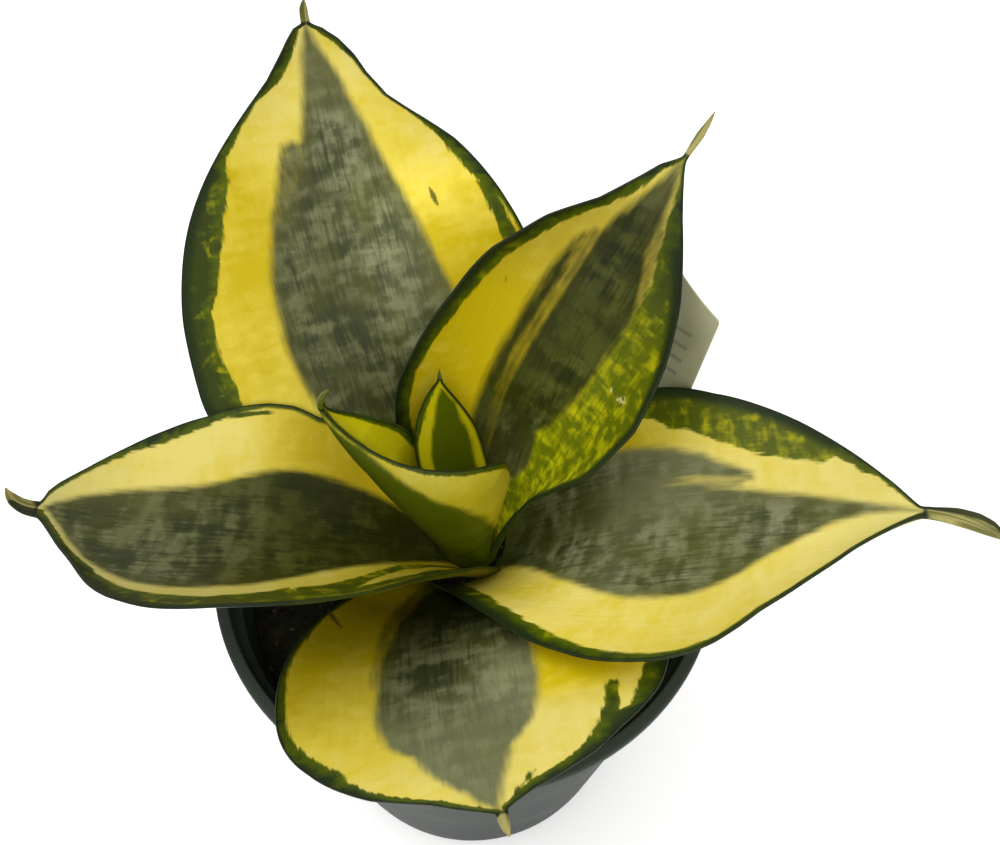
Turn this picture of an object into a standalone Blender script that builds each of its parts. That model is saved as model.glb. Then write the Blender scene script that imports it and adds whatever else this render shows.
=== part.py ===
"""A potted sunny star snake plant: a rosette of seven broad, pointed leaves in a round nursery pot.

Metres, +Z up. The origin is the middle of the pot's base, and the camera side of the plant is -Y.
"""
import math

import bmesh
import bpy
import numpy as np
from mathutils import Matrix, Vector

MM = 0.001
GAP = 0.3 * MM

# Pot
POT_HEIGHT = 88 * MM
RIM_RADIUS = 52.5 * MM
LIP_WIDTH = 2.5 * MM
LIP_HEIGHT = 2.1 * MM
LIP_OVERHANG = 1.4 * MM
STEP_DEPTH = 5.6 * MM
STEP_WIDTH = 2.0 * MM
WALL = 1.0 * MM
BASE_RADIUS = 37 * MM
FLOOR = 1.4 * MM
POT_SIDES = 72
DRAIN_HOLES = 8
DRAIN_RADIUS = 3.5 * MM
DRAIN_RING = 27 * MM

# Soil and the rhizome that the leaves grow from
SOIL_BELOW_RIM = 13 * MM
SOIL_SIDES = 60
CROWN_CENTRE = (2.5 * MM, 4 * MM)
CROWN_RADIUS = 13.6 * MM
CROWN_BELOW_RIM = 17 * MM
CROWN_HEIGHT = 26 * MM
HOLE_FLARE = 3 * MM

# Plant label
LABEL_FACING = 27
LABEL_LEAN = 10
LABEL_CORNER = (48.7 * MM, 22.2 * MM)
LABEL_ABOVE_RIM = 45 * MM
LABEL_HEAD = (26 * MM, 36 * MM)
LABEL_LENGTH = 105 * MM
STAKE_WIDTH = 9 * MM
LABEL_THICKNESS = 0.6 * MM
LABEL_CORNER_ROUND = 3 * MM

# Leaves: lengths in millimetres and angles in degrees. heading, lean, roll and the two cups are given
# at the foot, the middle and the tip. heading turns from +X towards +Y, lean is measured up from level,
# and a cup is how far the blade turns upwards between its midrib and that margin. ring is the distance
# of the foot from the crown's centre, and raised its height above the rhizome. left and right are the
# half widths, seen from foot to tip. The spine is the stiff point past the tip.
LEAVES = {
    "leaf_back_left": dict(
        length=112, left=41, right=36, widest=0.42, foot=0.29, fullness=1.22, point=1.06, ring=11, raised=0.9,
        heading=(126, 112, 105), lean=(62, 47, 72), roll=(12, 6, 2),
        cup_left=(59, -18, 38), cup_right=(58, 9, 51), spine=5, spine_radius=1.3, spine_turn=(0, 30)),
    "leaf_back_right": dict(
        length=99, left=32, right=26, widest=0.45, foot=0.27, fullness=1.15, point=1.20, ring=5.4, raised=0.2,
        heading=(53, 46, 38), lean=(83, 55, 51), roll=(16, -15, -30),
        cup_left=(70, 80, 45), cup_right=(91, 81, -10), spine=10, spine_radius=1.2, spine_turn=(0, -10)),
    "leaf_left": dict(
        length=93, left=36, right=29, widest=0.49, foot=0.29, fullness=1.29, point=0.91, ring=7.2, raised=0.2,
        heading=(200, 182, 179), lean=(81, 11, 18), roll=(-15, -12, -10),
        cup_left=(86, 53, 48), cup_right=(64, 39, 31), spine=8, spine_radius=1.4, spine_turn=(35, -20)),
    "leaf_right": dict(
        length=94, left=30, right=35, widest=0.49, foot=0.42, fullness=0.98, point=0.92, ring=8.8, raised=0.2,
        heading=(-23, -10, -15), lean=(79, 29, 24), roll=(11, 5, 10),
        cup_left=(92, 43, 40), cup_right=(80, 29, 54), spine=17, spine_radius=1.9, spine_turn=(-50, 0)),
    "leaf_front": dict(
        length=73, left=34, right=36, widest=0.55, foot=0.37, fullness=1.44, point=1.02, ring=11, raised=0.3,
        heading=(266, 276, 280), lean=(74, 31, 25), roll=(-1, -8, -2),
        cup_left=(49, 15, -2), cup_right=(49, 13, -7), spine=4, spine_radius=1.3, spine_turn=(-40, 0)),
    "leaf_cup": dict(
        length=66, left=38, right=15, widest=0.51, foot=0.21, fullness=1.42, point=1.09, ring=3.8, raised=0.3,
        heading=(175, 188, 181), lean=(67, 66, 83), roll=(4, -3, -3),
        cup_left=(153, 158, 64), cup_right=(95, 111, 76), spine=5, spine_radius=0.9, spine_turn=(40, 60)),
    "leaf_spear": dict(
        length=54, left=9.5, right=6.3, widest=0.53, foot=0.15, fullness=1.58, point=1.02, ring=0.3, raised=0,
        heading=(96, 127, 99), lean=(86, 70, 84), roll=(-4, -4, 10),
        cup_left=(57, 41, 14), cup_right=(54, 33, 33), spine=3, spine_radius=0.6, spine_turn=(0, 0)),
}
LEAF_ROWS = 24
SPINE_ROWS = 4
LEAF_COLUMNS = 12
FOOT_THICKNESS = 1.3
RIB_THICKNESS = 2.2
MARGIN_THICKNESS = 0.9
SPEAR_SHARE = 0.7


def material(name, colour, roughness):
    """A plain surface of one colour."""
    made = bpy.data.materials.new(name)
    made.use_nodes = True
    shader = made.node_tree.nodes["Principled BSDF"]
    shader.inputs["Base Color"].default_value = (*colour, 1)
    shader.inputs["Roughness"].default_value = roughness
    shader.inputs["Metallic"].default_value = 0
    return made


def add_object(name, mesh, finish):
    made = bpy.data.objects.new(name, mesh)
    bpy.context.collection.objects.link(made)
    mesh.materials.append(finish)
    return made


def smooth(mesh, angle=40):
    mesh.shade_smooth()
    mesh.set_sharp_from_angle(angle=math.radians(angle))


def turned(name, profile, sides, finish, centre=(0, 0)):
    """A solid of revolution; the profile runs from the axis, down the outside or inside, back to the axis."""
    mesh = bpy.data.meshes.new(name)
    bm = bmesh.new()
    rings = []
    for radius, height in profile:
        if radius == 0:
            rings.append([bm.verts.new((centre[0], centre[1], height))])
            continue
        ring = []
        for k in range(sides):
            turn = 2 * math.pi * k / sides
            x = centre[0] + radius * math.cos(turn)
            y = centre[1] + radius * math.sin(turn)
            ring.append(bm.verts.new((x, y, height)))
        rings.append(ring)
    for upper, lower in zip(rings, rings[1:]):
        for k in range(sides):
            nxt = (k + 1) % sides
            if len(upper) == 1:
                bm.faces.new((upper[0], lower[k], lower[nxt]))
            elif len(lower) == 1:
                bm.faces.new((upper[k], lower[0], upper[nxt]))
            else:
                bm.faces.new((upper[k], lower[k], lower[nxt], upper[nxt]))
    bmesh.ops.recalc_face_normals(bm, faces=bm.faces)
    bm.to_mesh(mesh)
    bm.free()
    smooth(mesh)
    return add_object(name, mesh, finish)


def cut(target, cutter):
    """Take the cutter's shape out of the target and leave the cutter as a hidden helper."""
    cutter.hide_render = True
    cutter.display_type = "WIRE"
    trim = target.modifiers.new("Cut " + cutter.name, "BOOLEAN")
    trim.operation = "DIFFERENCE"
    trim.object = cutter


def three(values, along):
    """The smooth curve through a value at the foot, the middle and the tip."""
    foot, middle, tip = values
    return (foot * (1 - along) * (1 - 2 * along) + 4 * middle * along * (1 - along)
            + tip * along * (2 * along - 1))


def half_width_share(along, leaf):
    """The blade's half width as a share of its greatest: it swells from the foot, then draws to a point."""
    rising = np.sin(math.pi / 2 * np.clip(along / leaf["widest"], 0, 1)) ** 1.4
    past = np.clip((along - leaf["widest"]) / (1 - leaf["widest"]), 0, 1)
    falling = np.cos(math.pi / 2 * past ** leaf["fullness"]) ** leaf["point"]
    return np.where(along < leaf["widest"], leaf["foot"] + (1 - leaf["foot"]) * rising, falling)


def leaf_stations():
    """Shares of the length where the blade has a row of points, and then the spine's rows past the tip."""
    blade = np.linspace(0, 1, LEAF_ROWS)
    spine = np.linspace(0, 1, SPINE_ROWS + 1)[1:]
    return blade, spine


def leaf_midrib(leaf, along):
    """Points of the midrib in millimetres, with its heading and lean in radians."""
    fine = np.linspace(0, along[-1], 400)
    past = np.clip((fine - 1) / max(along[-1] - 1, 1e-6), 0, 1)
    lean = np.radians(three(leaf["lean"], fine) + leaf["spine_turn"][0] * past)
    heading = np.radians(three(leaf["heading"], fine) + leaf["spine_turn"][1] * past)
    tangent = np.stack([np.cos(lean) * np.cos(heading), np.cos(lean) * np.sin(heading), np.sin(lean)], 1)
    step = leaf["length"] * (fine[1] - fine[0])
    run = np.concatenate([[[0, 0, 0]], np.cumsum((tangent[1:] + tangent[:-1]) / 2 * step, 0)])
    foot = np.array([CROWN_CENTRE[0] / MM + leaf["ring"] * math.cos(heading[0]),
                     CROWN_CENTRE[1] / MM + leaf["ring"] * math.sin(heading[0]),
                     (POT_HEIGHT - CROWN_BELOW_RIM) / MM + leaf["raised"]])
    points = np.stack([np.interp(along, fine, run[:, k] + foot[k]) for k in range(3)], 1)
    return points, np.interp(along, fine, heading), np.interp(along, fine, lean)


def leaf_frame(leaf, along, heading, lean):
    """Across and upward directions of the blade at each row."""
    roll = np.radians(three(leaf["roll"], along))[:, None]
    tangent = np.stack([np.cos(lean) * np.cos(heading), np.cos(lean) * np.sin(heading), np.sin(lean)], 1)
    across = np.stack([np.sin(heading), -np.cos(heading), 0 * heading], 1)
    upward = np.cross(across, tangent)
    return across * np.cos(roll) + upward * np.sin(roll), upward * np.cos(roll) - across * np.sin(roll)


def leaf_surface(leaf):
    """The blade's middle surface as rows of points in millimetres, with each point's share of thickness."""
    blade, spine = leaf_stations()
    along = np.concatenate([blade, 1 + spine * leaf["spine"] / leaf["length"]])
    midrib, heading, lean = leaf_midrib(leaf, along)
    across, upward = leaf_frame(leaf, along, heading, lean)
    past = np.clip((along - 1) * leaf["length"] / leaf["spine"], 0, 1)
    spine_width = leaf["spine_radius"] * np.clip(1 - past ** 1.5, 0.25, 1) * np.clip((along - 0.8) / 0.2, 0, 1)
    half = LEAF_COLUMNS // 2
    points = np.zeros((len(along), LEAF_COLUMNS + 1, 3))
    for side, key in ((-1, "left"), (1, "right")):
        blade_width = leaf[key] * half_width_share(along, leaf) * (along < 1)
        width = np.sqrt(blade_width ** 2 + spine_width ** 2)
        turn = np.radians(three(leaf["cup_" + key], np.clip(along, 0, 1)))
        for k in range(half + 1):
            share = k / half
            angle = turn * share
            bend = np.where(np.abs(angle) < 1e-6, 1e-6, angle)
            out = width * share * np.sin(bend) / bend
            rise = width * share * (1 - np.cos(bend)) / bend
            points[:, half + side * k] = midrib + side * across * out[:, None] + upward * rise[:, None]
    return points, along


def leaf_thickness(leaf, along):
    """Thickness in millimetres at each row and column: slim at the foot, full at the rib, thin at the margin."""
    rib = FOOT_THICKNESS + (RIB_THICKNESS - FOOT_THICKNESS) * np.sin(math.pi * np.clip(along, 0, 1)) ** 0.7
    past = np.clip((along - 0.85) / 0.15, 0, 1)
    rib = rib + (1.5 * leaf["spine_radius"] - rib) * past
    side = np.abs(np.linspace(-1, 1, LEAF_COLUMNS + 1)) ** 2
    edge = np.minimum(MARGIN_THICKNESS, rib)
    made = rib[:, None] * (1 - side) + edge[:, None] * side
    return made * (SPEAR_SHARE if leaf is LEAVES["leaf_spear"] else 1)


def surface_normals(points):
    along = np.gradient(points, axis=0)
    across = np.gradient(points, axis=1)
    normal = np.cross(across, along)
    return normal / np.linalg.norm(normal, axis=2, keepdims=True)


def add_leaf(name, leaf, finish):
    """A closed blade: the upper and under faces are split into triangles alike, and a strip joins them."""
    points, along = leaf_surface(leaf)
    offset = surface_normals(points) * leaf_thickness(leaf, along)[:, :, None] / 2
    rows, columns = points.shape[:2]
    mesh = bpy.data.meshes.new(name)
    bm = bmesh.new()
    upper = [[bm.verts.new(Vector(p) * MM) for p in row] for row in points + offset]
    under = [[bm.verts.new(Vector(p) * MM) for p in row] for row in points - offset]
    for i in range(rows - 1):
        for j in range(columns - 1):
            for face, flip in ((upper, False), (under, True)):
                a, b = face[i][j], face[i][j + 1]
                c, d = face[i + 1][j + 1], face[i + 1][j]
                pair = ((a, b, c), (a, c, d)) if j >= columns // 2 else ((a, b, d), (b, c, d))
                for corners in pair:
                    bm.faces.new(corners[::-1] if flip else corners)
    loop = [(0, j) for j in range(columns)] + [(i, columns - 1) for i in range(1, rows)]
    loop += [(rows - 1, j) for j in range(columns - 2, -1, -1)] + [(i, 0) for i in range(rows - 2, 0, -1)]
    for (i, j), (k, m) in zip(loop, loop[1:] + loop[:1]):
        bm.faces.new((upper[i][j], under[i][j], under[k][m]))
        bm.faces.new((upper[i][j], under[k][m], upper[k][m]))
    bm.to_mesh(mesh)
    bm.free()
    smooth(mesh, 60)
    return add_object(name, mesh, finish)


def pot_wall_radius(height):
    """Inner radius of the tapered wall at a height, below the step."""
    step_height = POT_HEIGHT - STEP_DEPTH - WALL
    top = RIM_RADIUS - LIP_WIDTH - STEP_WIDTH
    share = (height - FLOOR) / (step_height - FLOOR)
    return BASE_RADIUS - WALL + (top - BASE_RADIUS + WALL) * share


def add_pot(finish):
    """A thin tapered pot with a lip, a stacking step inside and drain holes round its base."""
    lip_under = POT_HEIGHT - LIP_HEIGHT
    step_top = POT_HEIGHT - STEP_DEPTH
    inner_rim = RIM_RADIUS - LIP_WIDTH
    step_inner = inner_rim - STEP_WIDTH
    collar = RIM_RADIUS - LIP_OVERHANG
    profile = [
        (0, 0), (BASE_RADIUS - 0.8 * MM, 0), (BASE_RADIUS, 0.8 * MM),
        (step_inner + WALL, step_top - 2 * WALL), (collar - 0.4 * MM, step_top - WALL),
        (collar, lip_under), (RIM_RADIUS, lip_under), (RIM_RADIUS, POT_HEIGHT - 0.5 * MM),
        (RIM_RADIUS - 0.5 * MM, POT_HEIGHT), (inner_rim + 0.4 * MM, POT_HEIGHT),
        (inner_rim, POT_HEIGHT - 0.5 * MM), (inner_rim - 0.3 * MM, step_top),
        (step_inner, step_top - WALL), (BASE_RADIUS - WALL, FLOOR), (0, FLOOR)]
    pot = turned("pot", profile, POT_SIDES, finish)
    for k in range(DRAIN_HOLES):
        turn = 2 * math.pi * (k + 0.5) / DRAIN_HOLES
        place = (DRAIN_RING * math.cos(turn), DRAIN_RING * math.sin(turn))
        hole = [(0, -2 * MM), (DRAIN_RADIUS, -2 * MM), (DRAIN_RADIUS, FLOOR + 2 * MM), (0, FLOOR + 2 * MM)]
        cutter = turned(f"drain_cutter_{k}", hole, 16, finish, place)
        cut(pot, cutter)
    return pot


def add_soil(finish):
    """Potting mix that fills the pot, with a plain flared hole that the rhizome and the leaf feet stand in."""
    top = POT_HEIGHT - SOIL_BELOW_RIM
    low = FLOOR + GAP
    radius = pot_wall_radius(top) - GAP
    profile = [(0, low), (pot_wall_radius(low) - GAP, low), (radius, top), (radius * 0.6, top), (0, top)]
    soil = turned("soil", profile, SOIL_SIDES, finish)
    crown_top = POT_HEIGHT - CROWN_BELOW_RIM - GAP
    crown_low = crown_top - CROWN_HEIGHT - GAP
    above = 2 * MM
    flare = HOLE_FLARE * (1 + above / (top - crown_top))
    hole = [(0, crown_low), (CROWN_RADIUS + GAP, crown_low), (CROWN_RADIUS + GAP, crown_top),
            (CROWN_RADIUS + GAP + flare, top + above), (0, top + above)]
    cut(soil, turned("crown_cutter", hole, 32, finish, CROWN_CENTRE))
    return soil


def add_rhizome(finish):
    """The short thick stem under the soil's surface, which every leaf stands on."""
    top = POT_HEIGHT - CROWN_BELOW_RIM - GAP
    low = top - CROWN_HEIGHT
    profile = [(0, low), (CROWN_RADIUS * 0.75, low), (CROWN_RADIUS, low + CROWN_HEIGHT * 0.3),
               (CROWN_RADIUS, top), (0, top)]
    return turned("rhizome", profile, 32, finish, CROWN_CENTRE)


def label_outline(grow):
    """The card's outline: a wide head with rounded corners on a narrow pointed stake. Origin at the top middle."""
    half, head = LABEL_HEAD[0] / 2, LABEL_HEAD[1]
    stake = STAKE_WIDTH / 2 + grow
    low = LABEL_LENGTH + grow
    shoulder = half - stake
    corner = LABEL_CORNER_ROUND
    right = [(stake * 0.25, -low), (stake, -low + 8 * MM), (stake, -head - shoulder), (half, -head)]
    for k in range(5):
        turn = math.radians(90 * k / 4)
        right.append((half - corner + corner * math.cos(turn), -corner + corner * math.sin(turn)))
    return right + [(-x, z) for x, z in reversed(right)]


def label_matrix():
    """Stands the card up at the back right of the pot, leaning outwards, with its face towards the plant."""
    facing = math.radians(LABEL_FACING)
    side = Vector((-math.sin(facing), math.cos(facing), 0))
    corner = Vector((LABEL_CORNER[0], LABEL_CORNER[1], POT_HEIGHT + LABEL_ABOVE_RIM))
    place = Matrix.Translation(corner + side * (LABEL_HEAD[0] / 2))
    turn = Matrix.Rotation(facing + math.pi / 2, 4, "Z") @ Matrix.Rotation(math.radians(LABEL_LEAN), 4, "X")
    return place @ turn


def label_solid(name, outline, thickness, finish):
    mesh = bpy.data.meshes.new(name)
    bm = bmesh.new()
    face = bm.faces.new([bm.verts.new((x, -thickness / 2, z)) for x, z in outline])
    moved = bmesh.ops.extrude_face_region(bm, geom=[face])
    corners = [item for item in moved["geom"] if isinstance(item, bmesh.types.BMVert)]
    bmesh.ops.translate(bm, verts=corners, vec=(0, thickness, 0))
    bmesh.ops.recalc_face_normals(bm, faces=bm.faces)
    bm.to_mesh(mesh)
    bm.free()
    made = add_object(name, mesh, finish)
    made.matrix_world = label_matrix()
    return made


def add_label(finish, soil):
    """A thin plastic plant label; its stake stands in a slot in the soil."""
    label = label_solid("plant_label", label_outline(0), LABEL_THICKNESS, finish)
    slot = label_solid("label_cutter", label_outline(GAP), LABEL_THICKNESS + 2 * GAP, finish)
    cut(soil, slot)
    return label


def build():
    for old in list(bpy.data.objects):
        bpy.data.objects.remove(old, do_unlink=True)
    pot_plastic = material("Pot plastic", (0.035, 0.045, 0.040), 0.45)
    potting_mix = material("Potting mix", (0.035, 0.022, 0.014), 0.95)
    stem_skin = material("Rhizome skin", (0.45, 0.38, 0.20), 0.7)
    card = material("Label card", (0.62, 0.60, 0.52), 0.5)
    add_pot(pot_plastic)
    soil = add_soil(potting_mix)
    add_rhizome(stem_skin)
    for name, leaf in LEAVES.items():
        blade = material(name.replace("_", " ").capitalize(), (0.72, 0.60, 0.10), 0.4)
        add_leaf(name, leaf, blade)
    add_label(card, soil)


build()
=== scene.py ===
"""Looks for the potted sunny star snake plant: leaves, pot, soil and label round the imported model.

Metres, +Z up, origin in the middle of the pot's base. The sizes named below are in millimetres and degrees.
"""
import math
import random

import bmesh
import bpy
import numpy as np
from mathutils import Matrix, Vector, noise


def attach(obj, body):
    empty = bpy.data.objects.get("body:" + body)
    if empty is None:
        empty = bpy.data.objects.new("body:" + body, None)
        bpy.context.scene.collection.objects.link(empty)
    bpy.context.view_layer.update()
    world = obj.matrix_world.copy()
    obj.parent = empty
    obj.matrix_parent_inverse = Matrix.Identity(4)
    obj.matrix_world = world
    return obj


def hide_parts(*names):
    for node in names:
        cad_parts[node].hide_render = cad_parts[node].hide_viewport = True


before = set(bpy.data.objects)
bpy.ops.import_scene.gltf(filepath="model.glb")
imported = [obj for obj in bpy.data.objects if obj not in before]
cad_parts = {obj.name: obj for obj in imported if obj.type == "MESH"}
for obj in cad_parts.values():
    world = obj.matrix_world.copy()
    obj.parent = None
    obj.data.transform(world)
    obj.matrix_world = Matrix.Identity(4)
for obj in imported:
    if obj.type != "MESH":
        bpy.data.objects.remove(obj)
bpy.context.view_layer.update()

MM = 0.001

# Pot, soil's top and the crown that the leaves stand on, as in the CAD source
POT_HEIGHT = 88
RIM_RADIUS = 52.5
LIP_WIDTH = 2.5
LIP_HEIGHT = 2.1
LIP_OVERHANG = 1.4
STEP_DEPTH = 5.6
STEP_WIDTH = 2.0
WALL = 1.0
BASE_RADIUS = 37
BASE_RECESS = 0.9
BASE_ROUND = 0.8
FLOOR = 1.4
DRAIN_HOLES = 8
DRAIN_RADIUS = 3.5
DRAIN_RING = 27
DRILL_HEIGHTS = (-2, 4)
DRILL_SIDES = 32
POT_SIDES = 192
POT_SHARP_ANGLE = 38
SOIL_TOP = 75
CROWN_CENTRE = (2.5, 4)
CROWN_TOP = 71

# Soil: sides and rings of its surface, gap to the wall, bumps as (size, height), and what lies on it
SOIL_SIDES = 200
SOIL_RINGS = 60
SOIL_GAP = 0.15
SOIL_BUMPS = ((14, 0.8), (5, 0.7), (2.2, 0.45), (1.1, 0.25))
SOIL_SINK = 0.4
MOUND_HEIGHT = 1.6
MOUND_WIDTH = 20
SAG_DEPTH = 0.8
SAG_FROM = 38
SAG_WIDTH = 8
CRUMBS = 900
SMALLEST_CRUMB = 0.45
CRUMB_RANGE = 1.5
CHIPS = 60
CHIP_SIZES = (1.6, 2.6)
CHIP_FLATNESS = 0.35
CHIP_LIFT = 0.3
CRUMB_GAP = 2.2
SOIL_SEED = 11

# Label, as in the CAD source but thinner and bowed, with its head twisted about its corner
LABEL_FACING = 27
LABEL_TWIST = -7
LABEL_LEAN = 10
LABEL_CORNER = (48.7, 22.2, 133)
LABEL_HEAD = (26, 36)
LABEL_LENGTH = 105
LABEL_THICKNESS = 0.3
LABEL_BOW = -1.1
LABEL_ROUND = 0.4
LABEL_EDGE = 0.12
LABEL_COLUMNS = 29
LABEL_SHARP_ANGLE = 50
TWIST_FROM = 7
TWIST_RUN = 26
STAKE_WIDTH = 9
STAKE_POINT = 8

# Camera fitted to the photograph, and the studio's lamps as (name, place, size, power), in metres and watts
CAMERA_PLACE = (0.0072, -0.1121, 0.2845)
CAMERA_DOWN = 53.8
CAMERA_LENS = 38.45
FLOOR_REACH = 30
LAMP_TARGET = (0, 0, 0.1)
LAMPS = (("key", (-0.4, 0.1, 1.1), 0.8, 5), ("fill", (0.1, -0.8, 0.85), 0.9, 6))

# Leaf shapes, as in the CAD source: triples are at the foot, the middle and the tip. left and right are
# the half widths seen from foot to tip.
LEAF_KEYS = ("length", "left", "right", "widest", "foot", "fullness", "point", "ring", "raised",
             "heading", "lean", "roll", "cup_left", "cup_right", "spine")
LEAVES = {name: dict(zip(LEAF_KEYS, values)) for name, *values in (
    ("leaf_back_left", 112, 41, 36, 0.42, 0.29, 1.22, 1.06, 11, 0.9,
     (126, 112, 105), (62, 47, 72), (12, 6, 2), (59, -18, 38), (58, 9, 51), 5),
    ("leaf_back_right", 99, 32, 26, 0.45, 0.27, 1.15, 1.20, 5.4, 0.2,
     (53, 46, 38), (83, 55, 51), (16, -15, -30), (70, 80, 45), (91, 81, -10), 10),
    ("leaf_left", 93, 36, 29, 0.49, 0.29, 1.29, 0.91, 7.2, 0.2,
     (200, 182, 179), (81, 11, 18), (-15, -12, -10), (86, 53, 48), (64, 39, 31), 8),
    ("leaf_right", 94, 30, 35, 0.49, 0.42, 0.98, 0.92, 8.8, 0.2,
     (-23, -10, -15), (79, 29, 24), (11, 5, 10), (92, 43, 40), (80, 29, 54), 17),
    ("leaf_front", 73, 34, 36, 0.55, 0.37, 1.44, 1.02, 11, 0.3,
     (266, 276, 280), (74, 31, 25), (-1, -8, -2), (49, 15, -2), (49, 13, -7), 4),
    ("leaf_cup", 66, 38, 15, 0.51, 0.21, 1.42, 1.09, 3.8, 0.3,
     (175, 188, 181), (67, 66, 83), (4, -3, -3), (153, 158, 64), (95, 111, 76), 5),
    ("leaf_spear", 54, 9.5, 6.3, 0.53, 0.15, 1.58, 1.02, 0.3, 0,
     (96, 127, 99), (86, 70, 84), (-4, -4, 10), (57, 41, 14), (54, 33, 33), 3),
)}
LEAF_ROWS = 190
SPINE_ROWS = 24
LEAF_COLUMNS = 60
EDGE_COLUMNS = 5
FOOT_THICKNESS = 1.3
RIB_THICKNESS = 2.2
MARGIN_THICKNESS = 0.6
SPEAR_SHARE = 0.7
SEED_STEP = 7.3

# Shares of a leaf's length: how far the inward foot reaches, where the spine's width and its thickness begin,
# and how much of the foot and the tip has no waves
INWARD_REACH = 0.28
SPINE_FROM = 0.9
THINNING_FROM = 0.85
CALM_FOOT = 0.15
CALM_TIP = 0.12

# Waves in the blade as (size, height, shift of the seed), half width of the dent, and how wide the shades of
# the two sides blend
WAVES = ((22, 0.5, 0), (9, 0.22, 40))
DENT_REACH = 24
SIDE_BLEND = 14


def both(pairs):
    """The same pairs on the left and on the right side."""
    return pairs, pairs


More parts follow.
